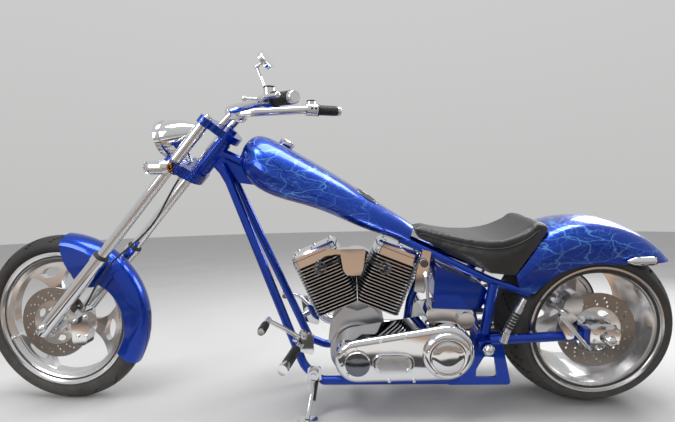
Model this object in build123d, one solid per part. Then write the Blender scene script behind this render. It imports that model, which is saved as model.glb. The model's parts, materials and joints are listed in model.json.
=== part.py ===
from build123d import *
import os
from functools import cache
from math import acos, asin, atan2, cos, degrees, hypot, pi, radians, sin, sqrt, tan

# A long, low V-twin chopper, parked on its side stand with the front wheel turned a little.
# Millimetres and degrees. X runs to the rear, Y to the rider's right and Z up.
# Each piece is drawn with the motorcycle upright, straight ahead and with the ground point
# under the front axle at the origin. The last part of the file turns the fork, leans the
# machine onto its stand and centres it.

# Stance
WHEELBASE = 2110
RAKE = 41.5
LEAN = 8.3
STEER_NOW = -5.0

# Wheels: radius at the crown, width, radius of the crown's own curve
FRONT_TYRE_R, FRONT_TYRE_W, FRONT_CROWN_R = 348, 92, 46
REAR_TYRE_R, REAR_TYRE_W, REAR_CROWN_R = 325, 280, 206
FRONT_LIP_R, FRONT_RIM_W = 281, 74
REAR_LIP_R, REAR_RIM_W = 246, 272
SPOKES = 3
FRONT_SPOKE_AT, REAR_SPOKE_AT = 106, 92
FLANGE = 6
DISC_R, DISC_T = 144, 5
DISC_HOLE_R, DISC_HOLE_ROWS = 4.5, ((100, 0), (113, 5), (126, 11))
DISC_HOLES_ROUND = 16
FRONT_DISC_Y, FRONT_HUB_RIGHT = -70, 40
REAR_DISC_Y = -128
FRONT_AXLE_R = 12
REAR_AXLE_R = 12.5
PIN_GAP = 0.5

# Side stand
LUG_OUTER = -164
STAND_EYE_R, STAND_EYE_T, STAND_EYE_GAP = 20, 16, 0.4
STAND_PIN_R, STAND_PIN_GAP = 7, 0.3
STAND_LEG_R, STAND_PAD_T = 9, 9

# Fork, measured along the fork legs from the front axle
FORK_OFFSET = 63
FORK_HALF = 110
TUBE_R = 20.5
SLIDER_R = 28
SLIDER_TOP = 370
SLIDER_TIP = -36
LOWER_CLAMP_AT, LOWER_CLAMP_H = 830, 42
TOP_CLAMP_AT, TOP_CLAMP_H = 1036, 30
TUBE_TOP = 1046
STEM_R = 14
NECK_R, NECK_BORE_R = 30, 15
NECK_FROM, NECK_TO = 868, 1004
CUP_GAP = 1

# Handlebar: where it crosses the fork (along the legs and behind them), its half width,
# how far back its grips reach and how much it is turned in its mounts
BAR_AT, BAR_BEHIND = 1118, 35
BAR_R = 17
BAR_HALF, BAR_REACH, BAR_DROP, BAR_SKEW = 290, 332, 16, 9
GRIP_R = 20
GRIP_LENGTH = 92

# Frame
BACKBONE_R = 20
BACKBONE_SLOPE = 26.4
CRADLE_R = 19
RAIL_HALF, RAIL_Z = 150, 142
JACK_BAR_FROM, JACK_BAR_TO, JACK_BAR_T = 1150, 1210, 10
SEAT_RAIL_R = 15
POST_R = 19
PLATE_T = 10
PIVOT = (1690, 288)
PIVOT_SHAFT_R = 14
LEFT_PLATE_Y, RIGHT_PLATE_Y = -156, 180
ARM_R, ARM_BOX_HALF, BOX_FROM = 18, 24, 2048
LEFT_ARM_Y = LEFT_PLATE_Y - PLATE_T / 2 - ARM_R
RIGHT_ARM_Y = RIGHT_PLATE_Y + PLATE_T / 2 + ARM_R

# Engine and drive
CRANK = (1222, 220)
BANK_ANGLE = 22.5
CASE_R, CASE_HALF = 112, 75
PUSHROD_Y, PUSHROD_R = 92, 8
DECK_AT, GASKET_AT, HEAD_TOP = 185, 318, 398
FIN_HALF_X, FIN_HALF_Y, FIN_T, FIN_PITCH = 97, 80, 4, 13
CLUTCH = (1537, 279)
PRIMARY_NOSE = (1216, 250)
PRIMARY_INNER, PRIMARY_OUTER = -92, -224
PRIMARY_FRONT_R, PRIMARY_REAR_R = 82, 104
BELT_W, BELT_T, BELT_Y = 24, 6, 159
REAR_PULLEY_R, FRONT_PULLEY_R = 150, 58

FRONT_AXLE = Vector(0, 0, FRONT_TYRE_R)
REAR_AXLE = Vector(WHEELBASE, 0, REAR_TYRE_R)
RISE = Vector(sin(radians(RAKE)), 0, cos(radians(RAKE)))
BACK = Vector(cos(radians(RAKE)), 0, -sin(radians(RAKE)))
FORK = Plane(origin=FRONT_AXLE, x_dir=BACK, z_dir=RISE)
STEER_AXIS = Axis(FRONT_AXLE + BACK * FORK_OFFSET, RISE)
SIDE = Plane(origin=(0, 0, 0), x_dir=(1, 0, 0), z_dir=(0, -1, 0))
MIRROR = Plane.XZ


def outline(start, *steps):
    """Closed face from a start corner. A step is the next corner, or (through, end) for an arc."""
    edges, here = [], start
    for step in steps:
        if isinstance(step[0], tuple):
            through, end = step
            edges.append(ThreePointArc(here, through, end))
        else:
            end = step
            edges.append(Line(here, end))
        here = end
    if here != start:
        edges.append(Line(here, start))
    return make_face(edges)


def rounded(points, radius):
    """Polygon with all its corners rounded."""
    face = make_face(Polyline(*points, close=True))
    return fillet(face.vertices(), radius)


def slab(face, y_left, y_right):
    """A face drawn in side view (x, z), given thickness from y_left to y_right."""
    return extrude(Pos(0, y_right, 0) * (SIDE * face), amount=y_right - y_left)


def rod(start, end, radius):
    """Round bar between two points."""
    start, end = Vector(*start), Vector(*end)
    plane = Plane(origin=start, z_dir=end - start)
    return extrude(plane * Circle(radius), amount=(end - start).length)


def across(x, z, y_left, y_right, radius):
    """Round bar along Y."""
    return rod((x, y_left, z), (x, y_right, z), radius)


def pipe(points, radius, bend):
    """Round tube along straight runs joined by tangent bends."""
    path = FilletPolyline(*points, radius=bend)
    return sweep(Plane(origin=path @ 0, z_dir=path % 0) * Circle(radius), path=path)


def both_sides(solid):
    return solid + mirror(solid, about=MIRROR)


def egg(first, first_r, second, second_r):
    """Two circles and their common tangents, in side view."""
    dx, dz = second[0] - first[0], second[1] - first[1]
    span = hypot(dx, dz)
    turn = acos((first_r - second_r) / span)
    heading = atan2(dz, dx)

    def at(centre, radius, angle):
        return (centre[0] + radius * cos(angle), centre[1] + radius * sin(angle))

    return outline(
        at(first, first_r, heading + turn),
        (at(first, first_r, heading + radians(180)), at(first, first_r, heading - turn)),
        at(second, second_r, heading - turn),
        (at(second, second_r, heading), at(second, second_r, heading + turn)),
    )


def revolved(face):
    """Face drawn as (radius, y), turned about the Y axis."""
    return revolve(face, axis=Axis.Y)


# Wheels


def tyre(radius, width, crown_r, bead_r, bead_half, shoulder_r):
    """Tyre with a round crown, bulged walls and its beads inside the rim's flanges."""
    half = width / 2
    return revolved(
        outline(
            (bead_r, -bead_half),
            (bead_r + 24, -bead_half),
            ((bead_r + 34, -half + (half - bead_half) * 0.25), (shoulder_r, -half)),
            ((radius, 0), (shoulder_r, half)),
            ((bead_r + 34, half - (half - bead_half) * 0.25), (bead_r + 24, bead_half)),
            (bead_r, bead_half),
        )
    )


def front_tyre():
    shoulder = FRONT_TYRE_R - FRONT_CROWN_R
    bead_half = FRONT_RIM_W / 2 - FLANGE
    solid = tyre(
        FRONT_TYRE_R, FRONT_TYRE_W, FRONT_CROWN_R, FRONT_LIP_R - 23, bead_half, shoulder
    )
    return Pos(*FRONT_AXLE) * solid


def rear_tyre():
    half = REAR_TYRE_W / 2
    shoulder = REAR_TYRE_R - REAR_CROWN_R + sqrt(REAR_CROWN_R**2 - half**2)
    bead_half = REAR_RIM_W / 2 - FLANGE
    solid = tyre(
        REAR_TYRE_R, REAR_TYRE_W, REAR_CROWN_R, REAR_LIP_R - 23, bead_half, shoulder
    )
    return Pos(*REAR_AXLE) * solid


def wheel_spokes(start, hub_r, rim_r, y_from, y_to, waist):
    """Cast spokes, each a fan that flares into the rim round an oval window."""
    flare = radians(29)
    tip_x, tip_z = rim_r * cos(flare), rim_r * sin(flare)
    root_x, bend_x = hub_r - 4, hub_r + 62
    hollow = ((bend_x + tip_x) / 2 + 12, (waist + tip_z) / 2 - 22)
    fan = outline(
        (root_x, -waist),
        (bend_x, -waist),
        ((hollow[0], -hollow[1]), (tip_x, -tip_z)),
        ((rim_r, 0), (tip_x, tip_z)),
        (hollow, (bend_x, waist)),
        (root_x, waist),
    )
    fan = fan - Pos(rim_r - 36, 0) * Ellipse(21, 48)
    spokes = slab(fan, y_from, y_to)
    return [Rot(0, -start - 360 * number / SPOKES, 0) * spokes for number in range(SPOKES)]


def front_rim():
    half = FRONT_RIM_W / 2
    seat = FRONT_LIP_R - 23
    inner = FRONT_LIP_R - 48
    profile = outline(
        (FRONT_LIP_R, -half),
        (FRONT_LIP_R, -half + FLANGE),
        (seat, -half + FLANGE),
        (seat, half - FLANGE),
        (FRONT_LIP_R, half - FLANGE),
        (FRONT_LIP_R, half),
        (FRONT_LIP_R - 9, half),
        ((FRONT_LIP_R - 20, half - 9), (seat - 6, half - 14)),
        (inner + 4, half - 20),
        (inner, half - 20),
        (inner, -half + 20),
        (inner + 4, -half + 20),
        (seat - 6, -half + 14),
        ((FRONT_LIP_R - 20, -half + 9), (FRONT_LIP_R - 9, -half)),
    )
    hub = rod((0, FRONT_DISC_Y + DISC_T / 2, 0), (0, FRONT_HUB_RIGHT, 0), 36)
    spokes = wheel_spokes(FRONT_SPOKE_AT, 36, inner + 3, -14, 14, 19)
    bore = Rot(90, 0, 0) * Cylinder(FRONT_AXLE_R + PIN_GAP, FRONT_RIM_W * 2)
    return Pos(*FRONT_AXLE) * (revolved(profile) + hub + spokes - bore)


def disc(outer_r, inner_r, windows, window_r, window_at):
    """Brake disc on its windowed carrier, centred on y = 0."""
    plate = Circle(outer_r) - Circle(inner_r)
    for number in range(windows):
        angle = number * 360 / windows
        plate = plate - Rot(0, 0, angle) * Pos(window_at, 0) * Ellipse(window_r * 0.62, window_r)
    holes = []
    for row_r, row_turn in DISC_HOLE_ROWS:
        for number in range(DISC_HOLES_ROUND):
            angle = row_turn + number * 360 / DISC_HOLES_ROUND
            holes.append(Rot(0, 0, angle) * Pos(row_r, 0) * Circle(DISC_HOLE_R))
    return slab(plate - holes, -DISC_T / 2, DISC_T / 2)


def front_disc():
    return Pos(FRONT_AXLE.X, FRONT_DISC_Y, FRONT_AXLE.Z) * disc(DISC_R, 30, 5, 20, 68)


def rear_rim():
    half = REAR_RIM_W / 2
    seat = REAR_LIP_R - 23
    web_from, web_to = 52, 92
    inner = seat - 11
    profile = outline(
        (REAR_LIP_R, -half),
        (REAR_LIP_R, -half + FLANGE),
        (seat, -half + FLANGE),
        (seat, half - FLANGE),
        (REAR_LIP_R, half - FLANGE),
        (REAR_LIP_R, half),
        (REAR_LIP_R - 8, half),
        (inner + 4, half - 18),
        (inner, web_from),
        (inner, -half + 60),
        (inner + 5, -half + 18),
        ((REAR_LIP_R - 13, -half + 8), (REAR_LIP_R - 8, -half)),
    )
    hub = rod((0, REAR_DISC_Y + DISC_T / 2, 0), (0, web_to + 20, 0), 42)
    spokes = wheel_spokes(REAR_SPOKE_AT, 42, inner + 3, web_from, web_to, 22)
    bore = Rot(90, 0, 0) * Cylinder(REAR_AXLE_R + PIN_GAP, REAR_RIM_W * 2)
    return Pos(*REAR_AXLE) * (revolved(profile) + hub + spokes - bore)


def rear_disc():
    return Pos(REAR_AXLE.X, REAR_DISC_Y, REAR_AXLE.Z) * disc(DISC_R, 30, 5, 20, 68)


def rear_pulley():
    """Toothed belt's driven pulley, bolted to the hub's right end by its raised boss."""
    hub_end = 112
    ring = revolved(
        outline(
            (REAR_PULLEY_R, BELT_Y - BELT_W / 2 - 1),
            (REAR_PULLEY_R, BELT_Y + BELT_W / 2 + 1),
            (REAR_PULLEY_R - 14, BELT_Y + BELT_W / 2 + 1),
            (REAR_PULLEY_R - 18, BELT_Y + 5),
            (60, BELT_Y + 5),
            (60, BELT_Y + 8),
            (REAR_AXLE_R + 8, BELT_Y + 8),
            (REAR_AXLE_R + 8, hub_end),
            (46, hub_end),
            (52, BELT_Y - 5),
            (REAR_PULLEY_R - 18, BELT_Y - 5),
            (REAR_PULLEY_R - 14, BELT_Y - BELT_W / 2 - 1),
        )
    )
    for number in range(5):
        ring = ring - Rot(0, number * 72, 0) * Pos(95, BELT_Y, 0) * Rot(90, 0, 0) * Cylinder(24, 40)
    return Pos(*REAR_AXLE) * ring


# Fork and handlebar, all in the straight-ahead position


def fork_leg(radius, start, end, side):
    """Round bar along a fork leg."""
    leg = Cylinder(radius, end - start, align=(Align.CENTER, Align.CENTER, Align.MIN))
    return FORK.location * Pos(0, side * FORK_HALF, start) * leg


@cache
def front_axle_solid():
    reach = FORK_HALF + SLIDER_R - 6
    solid = across(FRONT_AXLE.X, FRONT_AXLE.Z, -reach, reach, FRONT_AXLE_R)
    inner_face = FORK_HALF - SLIDER_R * 0.9
    spacer_r = FRONT_AXLE_R + 5
    left = across(FRONT_AXLE.X, FRONT_AXLE.Z, -inner_face, FRONT_DISC_Y - DISC_T / 2 - PIN_GAP, spacer_r)
    right = across(FRONT_AXLE.X, FRONT_AXLE.Z, FRONT_HUB_RIGHT + PIN_GAP, inner_face, spacer_r)
    return solid + left + right


@cache
def fork_sliders():
    solids = None
    for side in (-1, 1):
        leg = fork_leg(SLIDER_R, SLIDER_TIP, SLIDER_TOP - 26, side)
        collar = fork_leg(SLIDER_R + 3, SLIDER_TOP - 26, SLIDER_TOP, side)
        slash = FORK.location * Pos(-SLIDER_R, side * FORK_HALF, SLIDER_TIP) * Rot(0, 32, 0)
        slash = slash * Box(160, 160, 80, align=(Align.CENTER, Align.CENTER, Align.MAX))
        whole = leg + collar - slash - fork_leg(TUBE_R, 120, SLIDER_TOP, side)
        solids = whole if solids is None else solids + whole
    return solids - front_axle_solid()


@cache
def fork_tubes():
    tubes = fork_leg(TUBE_R, 120, TUBE_TOP, -1) + fork_leg(TUBE_R, 120, TUBE_TOP, 1)
    caps = fork_leg(TUBE_R - 5, TUBE_TOP, TUBE_TOP + 6, -1) + fork_leg(TUBE_R - 5, TUBE_TOP, TUBE_TOP + 6, 1)
    return tubes + caps


def clamp_face(collar_r, web_front, web_back):
    """Clamp plate seen along the steering axis: a collar round each leg and a waisted bridge."""
    bridge = outline(
        (-web_front, -FORK_HALF),
        ((-web_front + 8, 0), (-web_front, FORK_HALF)),
        (web_back * 0.3, FORK_HALF),
        ((web_back + 32, 0), (web_back * 0.3, -FORK_HALF)),
    )
    face = bridge
    for side in (-1, 1):
        face = face + Pos(0, side * FORK_HALF) * Circle(collar_r)
    return face


@cache
def lower_clamp():
    plate = extrude(clamp_face(34, 20, 62), amount=LOWER_CLAMP_H)
    plate = FORK.location * Pos(0, 0, LOWER_CLAMP_AT - LOWER_CLAMP_H / 2) * plate
    stem_from = LOWER_CLAMP_AT + LOWER_CLAMP_H / 2
    stem_to = TOP_CLAMP_AT - TOP_CLAMP_H / 2
    stem = Cylinder(STEM_R, stem_to - stem_from, align=(Align.CENTER, Align.CENTER, Align.MIN))
    stem = FORK.location * Pos(FORK_OFFSET, 0, stem_from) * stem
    cup_h = NECK_FROM - stem_from - CUP_GAP
    cup = Cylinder(NECK_R - 4, cup_h, align=(Align.CENTER, Align.CENTER, Align.MIN))
    cup = FORK.location * Pos(FORK_OFFSET, 0, stem_from) * cup
    return plate + stem + cup - fork_tubes()


@cache
def top_clamp():
    plate = extrude(clamp_face(27, 15, 78), amount=TOP_CLAMP_H)
    plate = FORK.location * Pos(0, 0, TOP_CLAMP_AT - TOP_CLAMP_H / 2) * plate
    cup_h = TOP_CLAMP_AT - TOP_CLAMP_H / 2 - NECK_TO - CUP_GAP
    cup = Cylinder(NECK_R - 4, cup_h, align=(Align.CENTER, Align.CENTER, Align.MIN))
    cup = FORK.location * Pos(FORK_OFFSET, 0, NECK_TO + CUP_GAP) * cup
    nut = Cylinder(18, 14, align=(Align.CENTER, Align.CENTER, Align.MIN))
    nut = FORK.location * Pos(FORK_OFFSET, 0, TOP_CLAMP_AT + TOP_CLAMP_H / 2) * nut
    return plate + cup + nut - fork_tubes() - lower_clamp()


def bar_points(side):
    """One half of the handlebar: its middle, knee, elbow and the grip's tip."""
    middle = FRONT_AXLE + RISE * BAR_AT + BACK * BAR_BEHIND
    elbow = (BAR_REACH - 114, BAR_HALF - 84, 22)
    half = [(0, 0, 0), (22, 84, 12), elbow, (BAR_REACH, BAR_HALF, BAR_DROP)]
    turned_about = Vector(-0.55, 0, 1)
    return [turn_vector(Vector(x, side * y, z), turned_about, -BAR_SKEW) + middle for x, y, z in half]


@cache
def handlebar():
    """Swept-back bar in two risers. It sits a little askew in their rubber bushes."""
    bar, risers = None, None
    for side in (-1, 1):
        half = pipe(bar_points(side), BAR_R, [55, 90])
        bar = half if bar is None else bar + half
        middle = bar_points(side)[0]
        foot = FRONT_AXLE + RISE * (TOP_CLAMP_AT + TOP_CLAMP_H / 2) + BACK * 30 + Vector(0, side * 42, 0)
        post = rod(tuple(foot), tuple(middle + Vector(0, side * 42, 0)), 16)
        cap = across(middle.X, middle.Z, side * 42 - 14, side * 42 + 14, BAR_R + 9)
        risers = post + cap if risers is None else risers + post + cap
    return bar + risers - top_clamp()


def grip_line(side):
    """Start and tip of a grip, and the way that it points."""
    _, _, elbow, tip = bar_points(side)
    along = (tip - elbow).normalized()
    return tip - along * GRIP_LENGTH, tip, along


@cache
def grips():
    solids = None
    for side in (-1, 1):
        start, tip, along = grip_line(side)
        sleeve = rod(tuple(start), tuple(tip), GRIP_R)
        flange = rod(tuple(start), tuple(start + along * 6), GRIP_R + 5)
        cap = rod(tuple(tip), tuple(tip + along * 14), GRIP_R - 1)
        grip = sleeve + flange + cap
        solids = grip if solids is None else solids + grip
    return solids - handlebar()


def perch_frame(side):
    """A grip's own directions: along it, ahead of it and up."""
    start, _, along = grip_line(side)
    ahead = Vector(0, 0, 1).cross(along).normalized() * side
    if ahead.X > 0:
        ahead = ahead * -1
    return start, along, ahead, Vector(0, 0, 1)


@cache
def hand_controls():
    """On each side a clamp with its switches, a reservoir and a ball-ended lever; an adjuster on the left."""
    solids = None
    for side in (-1, 1):
        start, along, ahead, up = perch_frame(side)
        clamp = rod(tuple(start - along * 52), tuple(start - along * 3), BAR_R + 9)
        reservoir_foot = start - along * 24 + ahead * 8
        reservoir = rod(tuple(reservoir_foot), tuple(reservoir_foot + up * 36), 19)
        cylinder = rod(tuple(start - along * 50 + ahead * 27), tuple(start - along * 4 + ahead * 30), 13)
        root = start - along * 16 + ahead * 34
        middle = root + along * 50 + ahead * 22
        end = middle + along * 74 + ahead * 6
        lever = pipe([root, middle, end], 6.5, [60])
        knob = Pos(*end) * Sphere(8.5)
        whole = clamp + reservoir + cylinder + lever + knob
        if side < 0:
            adjuster_end = start - along * 78 + ahead * 70
            adjuster = rod(tuple(start - along * 44 + ahead * 30), tuple(adjuster_end), 4.5)
            whole = whole + adjuster + Pos(*adjuster_end) * Sphere(8)
        solids = whole if solids is None else solids + whole
    return solids - handlebar() - grips()


def mirror_left():
    """The one mirror: a thin stem off the left clamp, a short arm and an oval head."""
    start, along, _, up = perch_frame(-1)
    foot = start - along * 48 + up * 14
    top = Vector(920, -225, 1277)
    head = Vector(950, -225, 1296)
    stem = rod(tuple(foot), tuple(top), 4.5)
    arm = rod(tuple(top), tuple(head), 4.5)
    joint = Pos(*top) * Sphere(7)
    glass = Plane(origin=head + Vector(6, -1, 3), x_dir=(0.2, 1, 0), z_dir=(0.89, -0.18, 0.40))
    shell = extrude(glass * Ellipse(42, 29), amount=-12)
    return stem + arm + joint + shell - handlebar() - hand_controls()


def headlight():
    """Bullet lamp: a domed glass, a stepped ring and a shell that tapers to a round tail."""
    front_r, length = 69, 168
    profile = outline(
        (0, -10),
        (4, -10),
        ((front_r * 0.55, -7), (front_r - 6, 2)),
        (front_r, 2),
        (front_r, 16),
        (front_r - 4, 20),
        ((front_r - 14, 96), (14, length)),
        (0, length),
    )
    shell = revolve(profile, axis=Axis.Y)
    place = Pos(461, 0, 1076) * Rot(0, -10, 0) * Rot(0, 0, -90)
    lamp = place * shell
    foot = FRONT_AXLE + RISE * (LOWER_CLAMP_AT + LOWER_CLAMP_H / 2) + BACK * 6
    post = rod(tuple(foot), (foot.X - 22, 0, foot.Z + 66), 12)
    return lamp + post - lower_clamp()


def turn_signals():
    solids = None
    for side in (-1, 1):
        profile = outline(
            (0, 0),
            (4, 0),
            ((19, 7), (26, 22)),
            (26, 62),
            ((19, 82), (4, 92)),
            (0, 92),
        )
        bullet = Pos(483, side * 164, 960) * Rot(0, 0, -90) * revolve(profile, axis=Axis.Y)
        stalk = rod((537, side * 128, 962), (537, side * 150, 962), 9)
        solid = bullet + stalk
        solids = solid if solids is None else solids + solid
    return solids - lower_clamp() - fork_tubes()


@cache
def front_fender():
    """Close-fitting fender round the back of the wheel, with a swept panel at each fork leg."""
    inner_r, wall, half = FRONT_TYRE_R + 8, 3, 60
    skirt_r = FRONT_LIP_R - 3

    def section(radius, width, low):
        return outline(
            (low, -width),
            (radius - 44, -width),
            ((radius, 0), (radius - 44, width)),
            (low, width),
        )

    outer = revolve(section(inner_r + wall, half, 150), axis=Axis.Y, revolution_arc=360)
    inner = revolve(section(inner_r, half - wall, 100), axis=Axis.Y, revolution_arc=360)
    shell = outer - inner
    reach = inner_r + 60

    def at(radius, angle):
        return (radius * cos(radians(angle)), radius * sin(radians(angle)))

    keep = outline(
        at(reach, 84),
        at(inner_r + wall, 84),
        ((40, 255), (72, 196)),
        ((122, 146), (190, 152)),
        (at(skirt_r, 12), at(skirt_r, -28)),
        at(reach, -34),
        (at(reach, 30), at(reach, 84)),
    )
    return Pos(*FRONT_AXLE) * (shell & slab(keep, -half - 5, half + 5))


def fender_struts():
    """Brackets from the fork sliders to the front fender's side panels."""
    foot = FRONT_AXLE + RISE * 250
    strut = rod((foot.X, 58, foot.Z), (foot.X, FORK_HALF - SLIDER_R + 2, foot.Z), 9)
    return both_sides(strut) - front_fender() - fork_sliders()


def front_caliper():
    """Four-piston caliper straddling the front disc behind the left slider."""
    body = slab(rounded([(86, 268), (138, 262), (162, 330), (158, 404), (116, 412), (84, 350)], 10), -95, -48)
    gap = DISC_T / 2 + 3
    slot = across(FRONT_AXLE.X, FRONT_AXLE.Z, FRONT_DISC_Y - gap, FRONT_DISC_Y + gap, DISC_R + 4)
    arm = slab(rounded([(58, 372), (120, 352), (130, 384), (92, 420)], 5), -108, -92)
    return body + arm - slot - fork_sliders()


# The front brake hose, along the back of the left fork leg: (behind the leg's front, across, up)
HOSE_R = 3.5
HOSE_ROUTE = (
    (34, -62, LOWER_CLAMP_AT - LOWER_CLAMP_H / 2),
    (36, -62, 770),
    (50, -68, 700),
    (70, -82, 625),
    (74, -98, 545),
    (62, -110, 470),
    (50, -117, 400),
    (47, -116, 330),
    (52, -108, 262),
    (58, -98, 204),
    (61, -90, 164),
    (62, -86, 131),
)


def hose_radii(points):
    """The largest arc at each corner of the route that its two runs allow."""
    radii = []
    for before, corner, after in zip(points, points[1:], points[2:]):
        run_in, run_out = corner - before, after - corner
        turn = radians(run_in.get_angle(run_out))
        radii.append(0.45 * min(run_in.length, run_out.length) / tan(turn / 2))
    return radii


def brake_hose():
    points = [FRONT_AXLE + BACK * x + Vector(0, y, 0) + RISE * z for x, y, z in HOSE_ROUTE]
    radii = hose_radii(points)
    print("hose bends, mm:", [round(radius) for radius in radii])
    hose = pipe(points, HOSE_R, radii)
    print("hose length, mm:", round(hose.volume / (pi * HOSE_R**2)))
    return hose - front_caliper() - lower_clamp()


# Frame


def backbone_z(x):
    """Height of the backbone's middle at x."""
    return 973 - (x - 787) * tan(radians(BACKBONE_SLOPE))


def neck_tube():
    tube = Cylinder(NECK_R, NECK_TO - NECK_FROM, align=(Align.CENTER, Align.CENTER, Align.MIN))
    bore = Cylinder(NECK_BORE_R, NECK_TO - NECK_FROM, align=(Align.CENTER, Align.CENTER, Align.MIN))
    return FORK.location * Pos(FORK_OFFSET, 0, NECK_FROM) * (tube - bore)


def neck_core():
    core = Cylinder(NECK_R - 1, NECK_TO - NECK_FROM, align=(Align.CENTER, Align.CENTER, Align.MIN))
    return FORK.location * Pos(FORK_OFFSET, 0, NECK_FROM) * core


@cache
def backbone():
    """Neck, backbone tube and the boxed gusset under it."""
    tube = backbone_tube(BACKBONE_R)
    gusset = slab(
        rounded([(650, 985), (690, 1010), (800, 962), (862, 906), (850, 884), (715, 905)], 8), -13, 13
    )
    return neck_tube() + ((tube + gusset) - neck_core())


def cradle_points(side):
    return [
        (698, side * 33, 972),
        (734, side * 36, 905),
        (1008, side * 118, 186),
        (1075, side * RAIL_HALF, RAIL_Z),
        (1180, side * RAIL_HALF, RAIL_Z),
    ]


@cache
def downtubes():
    tubes = None
    for side in (-1, 1):
        points = cradle_points(side)
        tube = pipe(points[:4] + [(1120, side * RAIL_HALF, RAIL_Z)], CRADLE_R - 2, [60, 60, 50])
        tubes = tube if tubes is None else tubes + tube
    return tubes - backbone()


@cache
def lower_rails():
    """Two bottom rails and what ties them: the flat jacking bar, the middle and the rear tube."""
    rail = rod((1120, RAIL_HALF, RAIL_Z), (1600, RAIL_HALF, RAIL_Z), CRADLE_R - 2)
    rails = both_sides(rail)
    bar = Pos((JACK_BAR_FROM + JACK_BAR_TO) / 2, 0, RAIL_Z - CRADLE_R) * Box(
        JACK_BAR_TO - JACK_BAR_FROM, 2 * RAIL_HALF, JACK_BAR_T, align=(Align.CENTER, Align.CENTER, Align.MIN)
    )
    middle = across(1412, RAIL_Z - 4, -RAIL_HALF, RAIL_HALF, 13)
    rear = across(1592, RAIL_Z + 4, LEFT_PLATE_Y, RIGHT_PLATE_Y, 14)
    return rails + bar + middle + rear - crankcase() - pivot_plates()


def seat_post_path(radius):
    """Bar along the seat post: off the backbone, down behind the rear cylinder."""
    top = (1520, 0, backbone_z(1520))
    return pipe([top, (1437, 0, 404), (1420, 0, 290), (1412, 0, RAIL_Z + 4)], radius, [120, 120])


def backbone_tube(radius):
    start, end = (672, 0, backbone_z(672)), (1536, 0, backbone_z(1536))
    return rod(start, end, radius)


@cache
def seat_post():
    return seat_post_path(16) - backbone_tube(BACKBONE_R) - lower_rails()


def seat_rail_paths(radius):
    rail = pipe(
        [(1392, 35, 668), (1572, 96, 588), (1716, 132, 523), (1850, 150, 478)], radius, [300, 300]
    )
    return both_sides(rail)


@cache
def seat_rails():
    return seat_rail_paths(SEAT_RAIL_R) - backbone()


def rear_posts():
    left = rod((1726, -134, 512), (1690, LEFT_PLATE_Y, 330), POST_R)
    outboard = RIGHT_PLATE_Y + 14
    right = pipe([(1726, 134, 512), (1706, outboard, 414), (1692, outboard, 336)], POST_R, [30])
    return left + right - seat_rails() - pivot_plates()


@cache
def pivot_plates():
    """Side plates that carry the swinging arm, each with an open window at the bottom."""
    face = rounded(
        [(1664, 345), (1748, 330), (1792, 126), (1550, 126), (1556, 156), (1628, 194)], 12
    )
    window = rounded([(1690, 240), (1728, 236), (1738, 156), (1660, 156), (1662, 190)], 9)
    face = face - window
    left = slab(face, LEFT_PLATE_Y - PLATE_T / 2, LEFT_PLATE_Y + PLATE_T / 2)
    right = slab(face, RIGHT_PLATE_Y - PLATE_T / 2, RIGHT_PLATE_Y + PLATE_T / 2)
    return left + right - pivot_shaft()


def pivot_shaft():
    reach = ARM_R + 8
    return across(*PIVOT, LEFT_ARM_Y - reach, RIGHT_ARM_Y + reach, PIVOT_SHAFT_R)


@cache
def swingarm():
    """Two arms on one pivot shaft, each with a flange at the axle box."""
    whole = pivot_shaft()
    for y in (LEFT_ARM_Y, RIGHT_ARM_Y):
        arm = rod((1700, y, 314), (2036, y, 330), ARM_R)
        ear = across(*PIVOT, y - ARM_R + 2, y + ARM_R - 2, 30)
        flange = slab(rounded([(2026, 300), (BOX_FROM, 300), (BOX_FROM, 362), (2026, 360)], 6), y - 22, y + 22)
        whole = whole + arm + ear + flange
    return whole


@cache
def axle_boxes():
    """Squared box at the end of each arm, which the axle passes through."""
    face = rounded([(BOX_FROM, 302), (2146, 304), (2156, 338), (2152, 358), (BOX_FROM, 361)], 5)
    boxes = None
    for y in (LEFT_ARM_Y, RIGHT_ARM_Y):
        box = slab(face, y - ARM_BOX_HALF, y + ARM_BOX_HALF)
        boxes = box if boxes is None else boxes + box
    return boxes - swingarm() - rear_axle_solid()


@cache
def rear_axle_solid():
    """Axle with the spacer between the left arm and the hub."""
    axle = across(REAR_AXLE.X, REAR_AXLE.Z, LEFT_ARM_Y - 36, RIGHT_ARM_Y + 36, REAR_AXLE_R)
    spacer = across(
        REAR_AXLE.X, REAR_AXLE.Z, LEFT_ARM_Y + ARM_BOX_HALF, REAR_DISC_Y - DISC_T / 2 - PIN_GAP, REAR_AXLE_R + 5
    )
    return axle + spacer


# Engine


def bank(sign):
    """Frame of a cylinder bank: sign is -1 for the front one and 1 for the rear one."""
    return Pos(CRANK[0], 0, CRANK[1]) * Rot(0, sign * BANK_ANGLE, 0)


def finned_cylinder(sign):
    core = Cylinder(60, HEAD_TOP - DECK_AT, align=(Align.CENTER, Align.CENTER, Align.MIN))
    stack = Pos(0, 0, DECK_AT) * core
    head = Pos(0, 0, GASKET_AT) * Box(
        150, 116, HEAD_TOP - GASKET_AT, align=(Align.CENTER, Align.CENTER, Align.MIN)
    )
    stack = stack + head
    fin = fillet(Rectangle(2 * FIN_HALF_X, 2 * FIN_HALF_Y).vertices(), 40)
    count = int((HEAD_TOP - DECK_AT) / FIN_PITCH)
    for number in range(count):
        at = DECK_AT + FIN_PITCH * (number + 0.6)
        stack = stack + Pos(0, 0, at) * extrude(fin, amount=FIN_T)
    whole = bank(sign) * stack
    side = Pos(CRANK[0] + sign * 1.5, 0, CRANK[1]) * Box(
        400, 400, 1400, align=(Align.MIN if sign < 0 else Align.MAX, Align.CENTER, Align.CENTER)
    )
    return whole - side


@cache
def front_cylinder():
    return finned_cylinder(-1)


@cache
def rear_cylinder():
    return finned_cylinder(1)


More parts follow.
